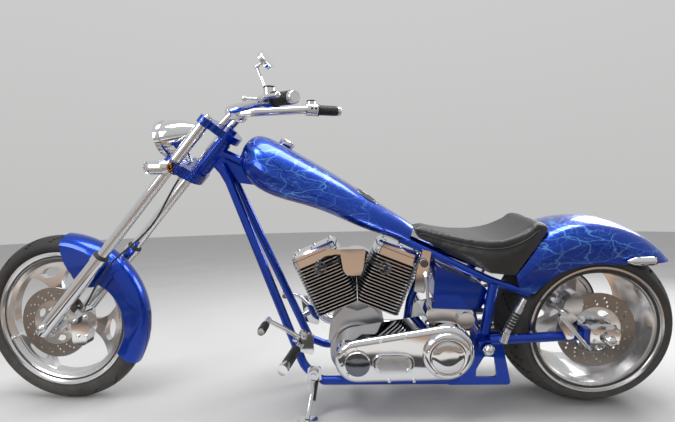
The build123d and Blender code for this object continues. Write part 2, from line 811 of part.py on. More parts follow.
@cache
def rocker_boxes():
    boxes = None
    for sign in (-1, 1):
        base = extrude(fillet(Rectangle(190, 124).vertices(), 22), amount=30)
        lid = Pos(0, 0, 30) * extrude(fillet(Rectangle(184, 118).vertices(), 20), amount=22)
        lid = chamfer(lid.faces().sort_by(Axis.Z)[-1].edges(), 8)
        box = bank(sign) * Pos(sign * 3, 0, HEAD_TOP) * (base + lid)
        boxes = box if boxes is None else boxes + box
    return boxes


def pushrod_tubes():
    """On the right, a pair of slim tubes for each cylinder, from the cam chest to the rocker box."""
    tubes = None
    for sign in (-1, 1):
        for apart in (16, 46):
            foot = (CRANK[0] + sign * apart - 8, PUSHROD_Y, CRANK[1] + 96)
            head = bank(sign) * Pos(-sign * (62 - apart), PUSHROD_Y, HEAD_TOP - 2)
            tube = rod(foot, tuple(head.position), PUSHROD_R)
            cup = Vector(*foot) + (head.position - Vector(*foot)).normalized() * 34
            tube = tube + rod(foot, tuple(cup), PUSHROD_R + 4)
            tubes = tube if tubes is None else tubes + tube
    return tubes - crankcase() - rocker_boxes() - air_cleaner()


@cache
def crankcase():
    body = across(CRANK[0], CRANK[1], -CASE_HALF, CASE_HALF, CASE_R)
    deck = slab(
        rounded([(1100, 250), (1122, 350), (1168, 402), (1222, 384), (1276, 402), (1322, 350), (1344, 250)], 8),
        -62,
        62,
    )
    cams = across(CRANK[0] - 8, CRANK[1] + 36, CASE_HALF, CASE_HALF + 34, 72)
    sprocket = across(CRANK[0], CRANK[1], PRIMARY_INNER, -CASE_HALF, 66)
    whole = body + deck + cams + sprocket
    for sign in (-1, 1):
        cut = bank(sign) * Pos(0, 0, DECK_AT) * Box(
            300, 300, 200, align=(Align.CENTER, Align.CENTER, Align.MIN)
        )
        whole = whole - cut
    return whole


def horn_cover():
    """Bright tapered cover in the V between the cylinders, folded along its middle."""
    face = rounded([(1158, 648), (1256, 648), (1244, 566), (1234, 546), (1184, 546), (1170, 566)], 8)
    bell = slab(face, -118, -84)
    ridge = Plane(origin=(1201, -118, 600), x_dir=(0, 1, 0), z_dir=(0, 0, 1))
    for side in (-1, 1):
        shave = ridge * Pos(0, side * 50) * Rot(0, 0, -side * 13) * Box(26, 120, 300)
        bell = bell - Pos(0, -13, 0) * shave
    bracket = slab(rounded([(1104, 620), (1180, 620), (1180, 640), (1104, 640)], 4), -84, -62)
    return bell + bracket


@cache
def primary_case():
    face = egg(PRIMARY_NOSE, PRIMARY_FRONT_R, CLUTCH, PRIMARY_REAR_R)
    case = slab(face, PRIMARY_OUTER, PRIMARY_INNER)
    outer = case.faces().sort_by(Axis.Y)[0]
    return fillet(outer.edges(), 20)


def primary_covers():
    """Clutch cover, inspection cover and the dome over the crank's end."""
    lift = PRIMARY_OUTER
    clutch = across(CLUTCH[0], CLUTCH[1], lift - 18, lift, 86)
    clutch = fillet(clutch.faces().sort_by(Axis.Y)[0].edges(), 9)
    oval = slab(Pos(1345, 250) * SlotOverall(150, 78), lift - 8, lift)
    oval = chamfer(oval.faces().sort_by(Axis.Y)[0].edges(), 3)
    dome = across(PRIMARY_NOSE[0], PRIMARY_NOSE[1], lift - 12, lift, 46)
    dome = fillet(dome.faces().sort_by(Axis.Y)[0].edges(), 8)
    return clutch + oval + dome


@cache
def starter():
    """Starter housing over the rear of the primary, with its bolted end cap."""
    body = slab(rounded([(1468, 392), (1632, 372), (1640, 432), (1480, 440)], 14), -186, -96)
    cap = across(1608, 400, -206, -186, 30)
    return body + cap - primary_case()


def gearbox():
    face = rounded([(1456, 170), (1640, 170), (1640, 330), (1600, 366), (1476, 366), (1456, 330)], 14)
    case = slab(face, PRIMARY_INNER, 88)
    shaft = across(CLUTCH[0], CLUTCH[1], 88, BELT_Y + BELT_W / 2 + 6, 22)
    return case + shaft


def belt_drive():
    """Toothed belt as one loop round both pulleys, and the gearbox pulley inside it."""
    rear = (REAR_AXLE.X, REAR_AXLE.Z)
    gap = 1.5
    loop = egg(CLUTCH, FRONT_PULLEY_R + BELT_T, rear, REAR_PULLEY_R + gap + BELT_T)
    hole = egg(CLUTCH, FRONT_PULLEY_R, rear, REAR_PULLEY_R + gap)
    belt = slab(loop - hole, BELT_Y - BELT_W / 2, BELT_Y + BELT_W / 2)
    pulley = across(CLUTCH[0], CLUTCH[1], BELT_Y - BELT_W / 2, BELT_Y + BELT_W / 2, FRONT_PULLEY_R)
    return belt + pulley - across(CLUTCH[0], CLUTCH[1], 0, 200, 22)


def exhaust_pipes():
    front = pipe(
        [
            (1040, 60, 535),
            (1004, 150, 520),
            (985, 232, 440),
            (1050, 252, 230),
            (1180, 252, 190),
            (1980, 252, 190),
        ],
        22,
        [60, 70, 90, 80],
    )
    rear = pipe(
        [
            (1405, 58, 535),
            (1446, 150, 520),
            (1462, 240, 440),
            (1500, 252, 290),
            (1600, 252, 256),
            (2040, 252, 256),
        ],
        22,
        [60, 70, 70, 80],
    )
    return front + rear - front_cylinder() - rear_cylinder()


def air_cleaner():
    body = across(1222, 520, 96, 158, 82)
    body = fillet(body.faces().sort_by(Axis.Y)[-1].edges(), 18)
    neck = across(1222, 520, 50, 96, 26)
    return body + neck - front_cylinder() - rear_cylinder()


# Bodywork


def tank_frame(along):
    """Plane across the tank's own axis, a distance back from its nose."""
    slope = radians(BACKBONE_SLOPE)
    back = Vector(cos(slope), 0, -sin(slope))
    return Plane(origin=Vector(800, 0, 1000) + back * along, x_dir=(0, 1, 0), z_dir=back)


# Tank sections: distance back from the nose, lowest and highest edge, half width
TANK_SECTIONS = (
    (-16, -22, 62, 44),
    (26, -62, 98, 104),
    (110, -88, 100, 146),
    (280, -70, 84, 150),
    (480, -58, 60, 118),
    (600, -50, 45, 92),
    (706, -45, 30, 66),
)


def tank_section(along, low, high, half):
    """Arched top, full sides and a flatter belly."""
    waist = low + (high - low) * 0.42
    face = outline(
        (-half, waist),
        ((-half * 0.72, low + (waist - low) * 0.24), (-half * 0.3, low)),
        (half * 0.3, low),
        ((half * 0.72, low + (waist - low) * 0.24), (half, waist)),
        ((half * 0.70, high - (high - waist) * 0.27), (0, high)),
        ((-half * 0.70, high - (high - waist) * 0.27), (-half, waist)),
    )
    return tank_frame(along) * face


@cache
def fuel_tank():
    body = loft([tank_section(*row) for row in TANK_SECTIONS])
    tunnel_r = BACKBONE_R + 2
    start, end = (672, backbone_z(672)), (1536, backbone_z(1536))
    below = outline(start, end, (end[0], end[1] - 160), (start[0], start[1] - 160))
    slot = slab(below, -tunnel_r, tunnel_r)
    return body - backbone_tube(tunnel_r) - slot - seat_rail_paths(SEAT_RAIL_R + 1)


def filler_cap():
    plane = Plane(origin=(948, 40, 1036), z_dir=(0.42, 0.16, 0.9))
    cap = extrude(plane * Circle(30), amount=22)
    return fillet(cap.faces().sort_by(Axis.Z)[-1].edges(), 5) - fuel_tank()


def seat():
    """Solo saddle: its side outline cut through its plan outline."""
    side = outline(
        (1440, 728),
        ((1560, 692), (1674, 674)),
        ((1800, 690), (1866, 730)),
        ((1905, 736), (1934, 712)),
        (1800, 546),
        (1712, 552),
        (1590, 606),
        (1462, 672),
    )
    plan = outline(
        (1430, -44),
        ((1560, -92), (1690, -150)),
        ((1830, -160), (1950, -96)),
        (1950, 96),
        ((1830, 160), (1690, 150)),
        ((1560, 92), (1430, 44)),
    )
    tall = extrude(plan, amount=900)
    body = slab(side, -200, 200) & tall
    return body - backbone() - seat_rail_paths(SEAT_RAIL_R + 1) - fender_room() - fuel_tank()


FENDER_CENTRE = (2078, 352)
FENDER_R, FENDER_HALF, FENDER_WALL = 390, 158, 4


def fender_section(radius, half):
    corner = 74
    face = outline(
        (120, -half),
        (radius - 34, -half),
        ((radius, 0), (radius - 34, half)),
        (120, half),
    )
    tops = [v for v in face.vertices() if v.X > radius - 60]
    return fillet(tops, corner)


def fender_outline():
    """Side view of the rear fender: seat edge, skirt along the rim and the tail."""
    return outline(
        (1948, 800),
        (1932, 716),
        (1802, 548),
        (1810, 500),
        (1866, 478),
        ((1958, 556), (2110, 586)),
        (2180, 584),
        (2470, 590),
        (2470, 800),
    )


@cache
def rear_fender():
    place = Pos(FENDER_CENTRE[0], 0, FENDER_CENTRE[1])
    outer = place * revolved(fender_section(FENDER_R, FENDER_HALF))
    inner = place * revolved(fender_section(FENDER_R - FENDER_WALL, FENDER_HALF - FENDER_WALL))
    shell = (outer - inner) & slab(fender_outline(), -220, 220)
    return shell - seat_rails()


def fender_room():
    """What the seat leaves free for the rear fender."""
    place = Pos(FENDER_CENTRE[0], 0, FENDER_CENTRE[1])
    return place * revolved(fender_section(FENDER_R + 1, FENDER_HALF + 1))


def tail_lights():
    """Bright pods low on the fender's rear corners, each with its lens at the back."""
    profile = outline((0, 0), (3, 0), ((13, 20), (16, 48)), (16, 88), (12, 96), (0, 96))
    pod = Pos(2178, FENDER_HALF + 14, 600) * Rot(0, 0, -90) * revolve(profile, axis=Axis.Y)
    return both_sides(pod) - rear_fender()


def oil_tank():
    face = rounded([(1516, 580), (1712, 486), (1690, 404), (1508, 440)], 16)
    body = slab(face, -112, 112)
    body = body - seat_post_path(19) - backbone_tube(BACKBONE_R + 2)
    return body - seat_rail_paths(SEAT_RAIL_R + 1) - starter()


def coil_cover():
    face = rounded([(1470, 640), (1500, 632), (1476, 470), (1436, 478), (1446, 560)], 6)
    plate = slab(face, -112, -96)
    switch = across(1472, 590, -124, -112, 14)
    bracket = across(1482, 612, -98, -52, 8)
    return plate + switch + bracket - seat_rails()


# Controls and fittings


def foot_controls():
    """Forward controls: a bracket on each downtube, a ringed peg and the toe lever."""
    solids = None
    for side, lever_z in ((-1, 402), (1, 360)):
        bracket = slab(rounded([(985, 262), (1050, 240), (1050, 320), (1000, 345)], 10), 0, 16)
        bracket = Pos(0, side * 138 - 8, 0) * bracket
        peg = rod((1000, side * 146, 290), (968, side * 322, 290), 15)
        tip = rod((968, side * 322, 290), (964, side * 340, 290), 19)
        root = Vector(1012, side * 164, 316)
        lever = pipe([root, (950, side * 186, 368), (892, side * 190, lever_z)], 8, [60])
        toe = rod((892, side * 182, lever_z), (886, side * 290, lever_z), 12)
        hinge = across(1012, 316, min(side * 146, side * 176), max(side * 146, side * 176), 14)
        clamp = rod((968, side * 106, 290), (1004, side * 138, 300), 13)
        whole = bracket + clamp + peg + tip + lever + toe + hinge
        solids = whole if solids is None else solids + whole
    return solids - downtubes()


def passenger_pegs():
    """Pegs folded up against the rear posts."""
    solids = None
    for y in (LEFT_ARM_Y - 22, RIGHT_ARM_Y + 22):
        foot, head = (1742, y, 316), (1812, y, 478)
        base = rod(foot, (1752, y, 352), 15)
        sleeve = rod((1752, y, 352), (1798, y, 448), 13)
        point = rod((1798, y, 448), head, 10)
        solid = base + sleeve + point
        solids = solid if solids is None else solids + solid
    return solids - swingarm() - pivot_plates()


def rear_caliper():
    """Caliper over the rear disc, bridged over the arm to a plate outside it with a link below."""
    gap = DISC_T / 2 + 3
    inner, outer = REAR_DISC_Y + 30, REAR_DISC_Y - 32
    corners = [(1976, 446), (2000, 472), (2026, 480), (2040, 458)]
    corners += [(2038, 414), (2014, 378), (1990, 374), (1970, 414)]
    body = slab(rounded(corners, 9), outer, inner)
    slot = across(REAR_AXLE.X, REAR_AXLE.Z, REAR_DISC_Y - gap, REAR_DISC_Y + gap, DISC_R + 4)
    plate_y = LEFT_ARM_Y - ARM_R - 2
    corners = [(1932, 430), (1952, 434), (1993, 364), (1986, 330), (1964, 326), (1936, 382)]
    plate = slab(rounded(corners, 7), plate_y - 10, plate_y)
    bridge = slab(rounded([(1946, 384), (1974, 374), (2006, 400), (1976, 426)], 7), plate_y, outer + 4)
    link = rod((1937, plate_y - 17, 416), (2034, plate_y - 17, 300), 7)
    upper_end = across(1937, 416, plate_y - 23, plate_y - 8, 10)
    lower_end = across(2034, 300, plate_y - 23, plate_y + 6, 10)
    link = link + upper_end + lower_end
    tab = slab(rounded([(2022, 284), (2052, 284), (2056, 308), (2028, 310)], 6), plate_y + 4, plate_y + 24)
    carrier = plate + link + tab - swingarm() - axle_boxes()
    return carrier + (body + bridge - slot)


def side_stand_pivot():
    """Middle of the stand's eye on its pin."""
    return Vector(1050, LUG_OUTER - STAND_EYE_GAP - STAND_EYE_T / 2, 176)


def stand_bracket():
    """Lug on the left rail with the pin that the side stand turns on."""
    pivot = side_stand_pivot()
    lug = slab(rounded([(1022, 132), (1080, 132), (1076, 202), (1028, 202)], 8), LUG_OUTER, LUG_OUTER + 12)
    pin_end = LUG_OUTER - 2 * STAND_EYE_GAP - STAND_EYE_T
    pin = across(pivot.X, pivot.Z, pin_end, LUG_OUTER, STAND_PIN_R)
    head = across(pivot.X, pivot.Z, pin_end - 5, pin_end, STAND_PIN_R + 4)
    return lug + pin + head - downtubes() - lower_rails()


# Placing on the ground


def turned(solid, angle=STEER_NOW):
    return solid.rotate(STEER_AXIS, angle)


def turn_vector(vector, axis_dir, angle):
    """A direction turned about another."""
    a, c, s = axis_dir.normalized(), cos(radians(angle)), sin(radians(angle))
    return vector * c + a.cross(vector) * s + a * (a.dot(vector) * (1 - c))


def turn_point(point, axis, angle):
    base = Vector(*axis.position)
    return base + turn_vector(point - base, Vector(*axis.direction), angle)


def tyre_drop(centre, axle, radius, crown_r):
    """Lowest height of a tyre with a round crown, and how far along it touches."""
    flat = sqrt(1 - axle.Z**2)
    return centre.Z - (radius - crown_r) * flat - crown_r


def ground_fit():
    """Pitch and lift that set both leaned tyres on the ground."""
    lean_axis = Axis((0, 0, 0), (1, 0, 0))
    front = turn_point(turn_point(FRONT_AXLE, STEER_AXIS, STEER_NOW), lean_axis, LEAN)
    front_dir = turn_vector(turn_vector(Vector(0, 1, 0), RISE, STEER_NOW), Vector(1, 0, 0), LEAN)
    rear = turn_point(REAR_AXLE, lean_axis, LEAN)
    rear_dir = turn_vector(Vector(0, 1, 0), Vector(1, 0, 0), LEAN)
    front_low = tyre_drop(front, front_dir, FRONT_TYRE_R, FRONT_CROWN_R)
    rear_low = tyre_drop(rear, rear_dir, REAR_TYRE_R, REAR_CROWN_R)
    pitch = degrees(asin((rear_low - front_low) / (rear.X - front.X)))
    lift = -(front_low - front.X * sin(radians(pitch)))
    return pitch, lift


PITCH, LIFT = ground_fit()


def grounded(solid):
    """Upright piece, leaned onto the stand and set on the ground."""
    return Pos(0, 0, LIFT) * solid.rotate(Axis.X, LEAN).rotate(Axis.Y, PITCH)


def grounded_point(point):
    moved = turn_vector(turn_vector(point, Vector(1, 0, 0), LEAN), Vector(0, 1, 0), PITCH)
    return moved + Vector(0, 0, LIFT)


STAND_FOOT = Vector(1028, -240, 0)


def side_stand():
    """Bent leg from its eye on the lug's pin to a flat foot, drawn where it meets the ground."""
    pivot = grounded_point(side_stand_pivot())
    out = turn_vector(Vector(0, -1, 0), Vector(1, 0, 0), LEAN)
    knee = Vector(pivot.X - 6, pivot.Y - 14, pivot.Z - 62)
    leg_top = pivot + (knee - pivot).normalized() * (STAND_EYE_R - 1)
    leg = pipe([leg_top, knee, STAND_FOOT + Vector(0, 0, STAND_PAD_T)], STAND_LEG_R, [60])
    pad = Pos(*STAND_FOOT) * extrude(SlotOverall(78, 40), amount=STAND_PAD_T)
    half = STAND_EYE_T / 2
    eye = rod(tuple(pivot - out * half), tuple(pivot + out * half), STAND_EYE_R)
    pin_hole = rod(tuple(pivot - out * 40), tuple(pivot + out * 40), STAND_PIN_R + STAND_PIN_GAP)
    lug_room = rod(tuple(pivot - out * (half + 40)), tuple(pivot - out * half), STAND_EYE_R + 20)
    return leg + eye + pad - pin_hole - lug_room


# Every node: the body it belongs to, how it is drawn
NODES = {
    "backbone": ("chassis", backbone),
    "downtubes": ("chassis", downtubes),
    "lower_rails": ("chassis", lower_rails),
    "seat_post": ("chassis", seat_post),
    "seat_rails": ("chassis", seat_rails),
    "rear_posts": ("chassis", rear_posts),
    "pivot_plates": ("chassis", pivot_plates),
    "swingarm": ("chassis", swingarm),
    "axle_boxes": ("chassis", axle_boxes),
    "rear_axle": ("chassis", rear_axle_solid),
    "fuel_tank": ("chassis", fuel_tank),
    "filler_cap": ("chassis", filler_cap),
    "seat": ("chassis", seat),
    "rear_fender": ("chassis", rear_fender),
    "tail_lights": ("chassis", tail_lights),
    "oil_tank": ("chassis", oil_tank),
    "crankcase": ("chassis", crankcase),
    "front_cylinder": ("chassis", front_cylinder),
    "rear_cylinder": ("chassis", rear_cylinder),
    "rocker_boxes": ("chassis", rocker_boxes),
    "pushrod_tubes": ("chassis", pushrod_tubes),
    "horn_cover": ("chassis", horn_cover),
    "primary_case": ("chassis", primary_case),
    "primary_covers": ("chassis", primary_covers),
    "starter": ("chassis", starter),
    "gearbox": ("chassis", gearbox),
    "belt_drive": ("chassis", belt_drive),
    "exhaust_pipes": ("chassis", exhaust_pipes),
    "air_cleaner": ("chassis", air_cleaner),
    "coil_cover": ("chassis", coil_cover),
    "foot_controls": ("chassis", foot_controls),
    "passenger_pegs": ("chassis", passenger_pegs),
    "rear_caliper": ("chassis", rear_caliper),
    "stand_bracket": ("chassis", stand_bracket),
    "side_stand": ("side_stand", side_stand),
    "fork_tubes": ("steering", fork_tubes),
    "fork_sliders": ("steering", fork_sliders),
    "lower_clamp": ("steering", lower_clamp),
    "top_clamp": ("steering", top_clamp),
    "handlebar": ("steering", handlebar),
    "grips": ("steering", grips),
    "hand_controls": ("steering", hand_controls),
    "mirror": ("steering", mirror_left),
    "headlight": ("steering", headlight),
    "turn_signals": ("steering", turn_signals),
    "front_fender": ("steering", front_fender),
    "fender_struts": ("steering", fender_struts),
    "front_caliper": ("steering", front_caliper),
    "brake_hose": ("steering", brake_hose),
    "front_axle": ("steering", front_axle_solid),
    "front_tyre": ("front_wheel", front_tyre),
    "front_rim": ("front_wheel", front_rim),
    "front_disc": ("front_wheel", front_disc),
    "rear_tyre": ("rear_wheel", rear_tyre),
    "rear_rim": ("rear_wheel", rear_rim),
    "rear_disc": ("rear_wheel", rear_disc),
    "rear_pulley": ("rear_wheel", rear_pulley),
}


def placed_nodes():
    """Every node as it stands on the ground, centred on the middle of its own outline."""
    placed = {}
    for name, (body, draw) in NODES.items():
        solid = draw()
        if body in ("steering", "front_wheel"):
            solid = turned(solid)
        placed[name] = solid if name == "side_stand" else grounded(solid)
    boxes = [solid.bounding_box() for solid in placed.values()]
    middle_x = (min(b.min.X for b in boxes) + max(b.max.X for b in boxes)) / 2
    middle_y = (min(b.min.Y for b in boxes) + max(b.max.Y for b in boxes)) / 2
    shift = Vector(-round(middle_x), -round(middle_y), 0)
    return {name: Pos(*shift) * solid for name, solid in placed.items()}, shift


def main():
    os.makedirs("parts", exist_ok=True)
    placed, _ = placed_nodes()
    for name, solid in placed.items():
        export_step(solid, f"parts/{name}.step")


if __name__ == "__main__":
    main()
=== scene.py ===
# %% [markdown]
# # A chopper motorcycle on its side stand
# The machine arrives as a measured frame: every tube, wheel and casting is already there at its
# true size. This file gives it what a drawing leaves out, which is paint, plating, leather,
# rubber, tread, bolts and hoses, and then sets up the light and the camera.
# Everything is in metres. X runs to the rear wheel, Y to the rider's right and Z up.

# %% Load the frame
import json
import math

import bmesh
import bpy
from mathutils import Matrix, Vector
from mathutils.bvhtree import BVHTree
from mathutils.kdtree import KDTree

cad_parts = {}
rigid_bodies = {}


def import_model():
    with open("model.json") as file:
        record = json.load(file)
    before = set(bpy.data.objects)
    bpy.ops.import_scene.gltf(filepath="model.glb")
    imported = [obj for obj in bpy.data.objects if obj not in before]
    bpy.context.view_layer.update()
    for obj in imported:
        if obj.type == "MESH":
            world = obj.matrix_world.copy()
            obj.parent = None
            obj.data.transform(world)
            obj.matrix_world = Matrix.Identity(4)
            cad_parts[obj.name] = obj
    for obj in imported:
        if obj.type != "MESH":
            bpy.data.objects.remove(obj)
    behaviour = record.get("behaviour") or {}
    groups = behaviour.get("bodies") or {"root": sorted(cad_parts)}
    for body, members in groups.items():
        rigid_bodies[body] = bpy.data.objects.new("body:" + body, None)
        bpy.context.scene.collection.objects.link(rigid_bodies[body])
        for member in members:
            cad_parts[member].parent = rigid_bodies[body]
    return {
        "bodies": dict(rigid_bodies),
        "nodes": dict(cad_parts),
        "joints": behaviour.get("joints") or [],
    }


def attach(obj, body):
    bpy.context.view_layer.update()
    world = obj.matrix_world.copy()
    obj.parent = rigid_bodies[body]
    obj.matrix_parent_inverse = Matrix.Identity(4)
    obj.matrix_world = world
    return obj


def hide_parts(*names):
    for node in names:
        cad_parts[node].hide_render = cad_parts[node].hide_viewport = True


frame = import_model()
bodies, nodes = frame["bodies"], frame["nodes"]
joints = {joint["name"]: joint for joint in frame["joints"]}
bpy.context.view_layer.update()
bpy.ops.object.select_all(action="DESELECT")
print("frame pieces:", len(nodes), "bodies:", sorted(bodies))

# %% [markdown]
# ## Sets of axes
# The motorcycle leans on its stand and its front wheel is turned a little, so nothing on it is
# square to the floor. Working in leaned numbers is hard. Instead each piece is modelled upright,
# in the machine's own axes, and one matrix then lays it in place. The wheels' spindles and the
# steering's pivot give those axes exactly, so a piece follows if the frame changes.

# %% Axes of the machine, of the fork, of each wheel and of each cylinder
WHEELBASE, REAR_RADIUS, FRONT_RADIUS = 2.110, 0.325, 0.348
RAKE, HALF_V = math.radians(41.5), math.radians(22.5)
CRANK = Vector((1.222, 0, 0.220))


def axes(origin, across, up):
    """Matrix whose Y is the across direction and whose Z is near up."""
    y = Vector(across).normalized()
    x = y.cross(Vector(up)).normalized()
    turn = Matrix((x, y, x.cross(y))).transposed().to_4x4()
    return Matrix.Translation(Vector(origin)) @ turn


def spindle(name):
    return Vector(joints[name]["pos_m"]), Vector(joints[name]["axis"])


rear_centre, rear_across = spindle("rear_wheel_spin")
front_centre, front_across = spindle("front_wheel_spin")
steering_up = spindle("steering")[1]
REAR_WHEEL = axes(rear_centre, rear_across, (0, 0, 1))
FRONT_WHEEL = axes(front_centre, front_across, (0, 0, 1))
BIKE = REAR_WHEEL @ Matrix.Translation((-WHEELBASE, 0, -REAR_RADIUS))
FORK = axes(front_centre, front_across, steering_up)
straight_fork = Matrix.Translation((0, 0, FRONT_RADIUS)) @ Matrix.Rotation(RAKE, 4, "Y")
STEERED = FORK @ straight_fork.inverted()


def bank(sign):
    """Axes of one cylinder, with Z up its bore: -1 is the front one and 1 the rear one."""
    return BIKE @ Matrix.Translation(CRANK) @ Matrix.Rotation(sign * HALF_V, 4, "Y")


def on_bike(*points):
    return [BIKE @ Vector(point) for point in points]


print("spindles:", [[round(v, 3) for v in centre] for centre in (front_centre, rear_centre)])

# %% [markdown]
# ## The camera
# The camera stands on the rider's left, a little below the tank's height, and looks almost
# square across the machine. Its place is measured from the rear spindle, so it keeps its view
# when the frame is centred again.

# %% Place the camera
PICTURE_WIDTH_PX, FOCAL_LENGTH_PX, SENSOR_MM = 675, 408.21, 36.0
YAW, PITCH, ROLL = (math.radians(a) for a in (1.95, 0.09, 1.13))
AHEAD_OF_REAR, LEFT_OF_REAR, CAMERA_HEIGHT = 0.90503, 1.68874, 0.76735

camera_data = bpy.data.cameras.new("side_view")
camera_data.sensor_width = SENSOR_MM
camera_data.lens = FOCAL_LENGTH_PX / PICTURE_WIDTH_PX * SENSOR_MM
camera_data.clip_end = 200
camera = bpy.data.objects.new("side_view", camera_data)
bpy.context.scene.collection.objects.link(camera)
look = Matrix.Identity(4)
for angle, axis in ((YAW, "Z"), (PITCH, "X"), (ROLL, "Y"), (math.radians(90), "X")):
    look = look @ Matrix.Rotation(angle, 4, axis)
spot = (rear_centre.x - AHEAD_OF_REAR, rear_centre.y - LEFT_OF_REAR, CAMERA_HEIGHT)
camera.matrix_world = Matrix.Translation(spot) @ look
bpy.context.scene.camera = camera
print("camera at", [round(v, 3) for v in spot], "lens", round(camera_data.lens, 2))

# %% [markdown]
# ## Helpers for materials
# A node tree is long when each wire takes a line. Here a node is added together with what goes
# into its sockets, which may be a number, a colour or another node, so that a finish reads like
# a recipe, from the pattern to the shader.


# %% Add nodes and feed their sockets
def wire(tree, node, sockets):
    """Feed input sockets with numbers, colours, other nodes' outputs or their first output."""
    for socket, value in sockets.items():
        if isinstance(value, bpy.types.Node):
            value = value.outputs[0]
        if isinstance(value, bpy.types.NodeSocket):
            tree.links.new(value, node.inputs[socket])
        else:
            node.inputs[socket].default_value = value


def add(tree, kind, sockets, **settings):
    node = tree.nodes.new("ShaderNode" + kind)
    node.location.x = 200 * len(tree.nodes)
    for name, value in settings.items():
        setattr(node, name, value)
    wire(tree, node, sockets)
    return node


def where(tree):
    """The place of each point on the piece."""
    return add(tree, "TexCoord", {}).outputs["Object"]


def calc(tree, operation, *values, **settings):
    return add(tree, "Math", dict(enumerate(values)), operation=operation, **settings)


def noise(tree, place, scale, **sockets):
    return add(tree, "TexNoise", {"Vector": place, "Scale": scale, **sockets})


def remap(tree, value, low=0.0, high=1.0, to_low=0.0, to_high=1.0):
    ends = {"From Min": low, "From Max": high, "To Min": to_low, "To Max": to_high}
    return add(tree, "MapRange", {"Value": value, **ends})


def blend(tree, factor, first, second):
    """Colour between two colours."""
    sockets = {"Factor": factor, 6: first, 7: second}
    return add(tree, "Mix", sockets, data_type="RGBA").outputs[2]


def bump(tree, height, strength, distance):
    return add(tree, "Bump", {"Height": height, "Strength": strength, "Distance": distance})


def centred_on(tree, place):
    """The place of each point in the axes of a wheel or of a cylinder."""
    laid = {"Location": place.translation, "Rotation": place.to_euler("XYZ")}
    return add(tree, "Mapping", {"Vector": where(tree), **laid}, vector_type="TEXTURE")


def colour_bands(tree, value, first, last, between=()):
    """Colours along a value, each given as (where, (red, green, blue))."""
    node = add(tree, "ValToRGB", {"Fac": value})
    stops = node.color_ramp.elements
    for stop, (at, colour) in zip(stops, (first, last)):
        stop.position, stop.color = at, (*colour, 1)
    for at, colour in between:
        stops.new(at).color = (*colour, 1)
    return node


# %% Start materials and groups
def new_material(name, **sockets):
    """A material with its Principled shader's plain numbers set on its own sockets."""
    made = bpy.data.materials.new(name)
    made.use_nodes = True
    shader = made.node_tree.nodes["Principled BSDF"]
    wire(made.node_tree, shader, {key.replace("_", " "): value for key, value in sockets.items()})
    return made, made.node_tree, shader


def use_group(tree, group, **values):
    return add(tree, "Group", values, node_tree=group)


def new_group(name, inputs, outputs):
    """A node group; returns it with what it is given and with its end."""
    group = bpy.data.node_groups.new(name, "ShaderNodeTree")
    for socket, kind, value in inputs:
        made = group.interface.new_socket(socket, in_out="INPUT", socket_type="NodeSocket" + kind)
        made.default_value = value
    for socket, kind in outputs:
        group.interface.new_socket(socket, in_out="OUTPUT", socket_type="NodeSocket" + kind)
    return group, group.nodes.new("NodeGroupInput").outputs, group.nodes.new("NodeGroupOutput")


# %% [markdown]
# ## Shared effects
# Four effects come back on several finishes: polishing marks on plated and machined metal, road
# dust that gathers low down, the grain of leather and moulded rubber, and metal flake under a
# clear coat. Each is a node group, built once, with its numbers left open.

# %% Polishing marks: two scales of soft variation in gloss
polish, given, out = new_group(
    "PolishMarks",
    [("Scale", "Float", 30.0), ("Roughness", "Float", 0.06), ("Spread", "Float", 0.05)],
    [("Roughness", "Float"), ("Height", "Float")],
)
place = where(polish)
cloudy = noise(polish, place, given["Scale"], Detail=6, Roughness=0.65)
fine = noise(polish, place, 420, Detail=3)
varied = calc(polish, "MULTIPLY", cloudy, given["Spread"])
wire(polish, out, {"Roughness": calc(polish, "ADD", varied, given["Roughness"]), "Height": fine})

# %% Road dust: more towards the floor, broken up by noise
dust, given, out = new_group(
    "RoadDust", [("Amount", "Float", 0.3), ("Reach", "Float", 0.35)], [("Mask", "Float")]
)
place = where(dust)
height = add(dust, "SeparateXYZ", {0: place}).outputs["Z"]
low = remap(dust, height, 0.0, given["Reach"], 1.0, 0.0)
patchy = calc(dust, "MULTIPLY", low, noise(dust, place, 24, Detail=8))
wire(dust, out, {"Mask": calc(dust, "MULTIPLY", patchy, given["Amount"], use_clamp=True)})

# %% Grain: the pebbled surface of leather and of moulded rubber
grain, given, out = new_group(
    "Grain", [("Scale", "Float", 300.0)], [("Height", "Float"), ("Wear", "Float")]
)
place = where(grain)
pebbles = add(grain, "TexVoronoi", {"Vector": place, "Scale": given["Scale"]}, feature="SMOOTH_F1")
wire(grain, out, {"Height": pebbles, "Wear": noise(grain, place, 9, Detail=7)})

# %% Candy paint: a colour that shifts between deep and bright, with flake in it
candy, given, out = new_group(
    "CandyPaint",
    [("Deep", "Color", (0.0, 0.017, 0.23, 1)), ("Bright", "Color", (0.0, 0.060, 0.52, 1)),
     ("Flake Scale", "Float", 900.0)],
    [("Color", "Color"), ("Height", "Float")],
)
place = where(candy)
flakes = add(candy, "TexVoronoi", {"Vector": place, "Scale": given["Flake Scale"]})
grey = add(candy, "RGBToBW", {0: flakes.outputs["Color"]})
clouds = noise(candy, place, 3.0, Detail=3)
flake_part = calc(candy, "MULTIPLY", grey, 0.5)
both = calc(candy, "MULTIPLY_ADD", clouds, 0.6, flake_part, use_clamp=True)
wire(candy, out, {"Color": blend(candy, both, given["Deep"], given["Bright"]), "Height": grey})
print("shared effects:", [group.name for group in bpy.data.node_groups])

# %% [markdown]
# ## Finishes
# Candy blue is a metallic base under a thick clear coat, so the shader is partly metallic and
# carries a coat with its own low roughness. The tank and the rear fender also carry thin pale
# lines that fork and wander like the veins of a leaf. They come from the edges of large cells
# whose grid is bent by noise, thinned out by a second noise so that they fade in and out.


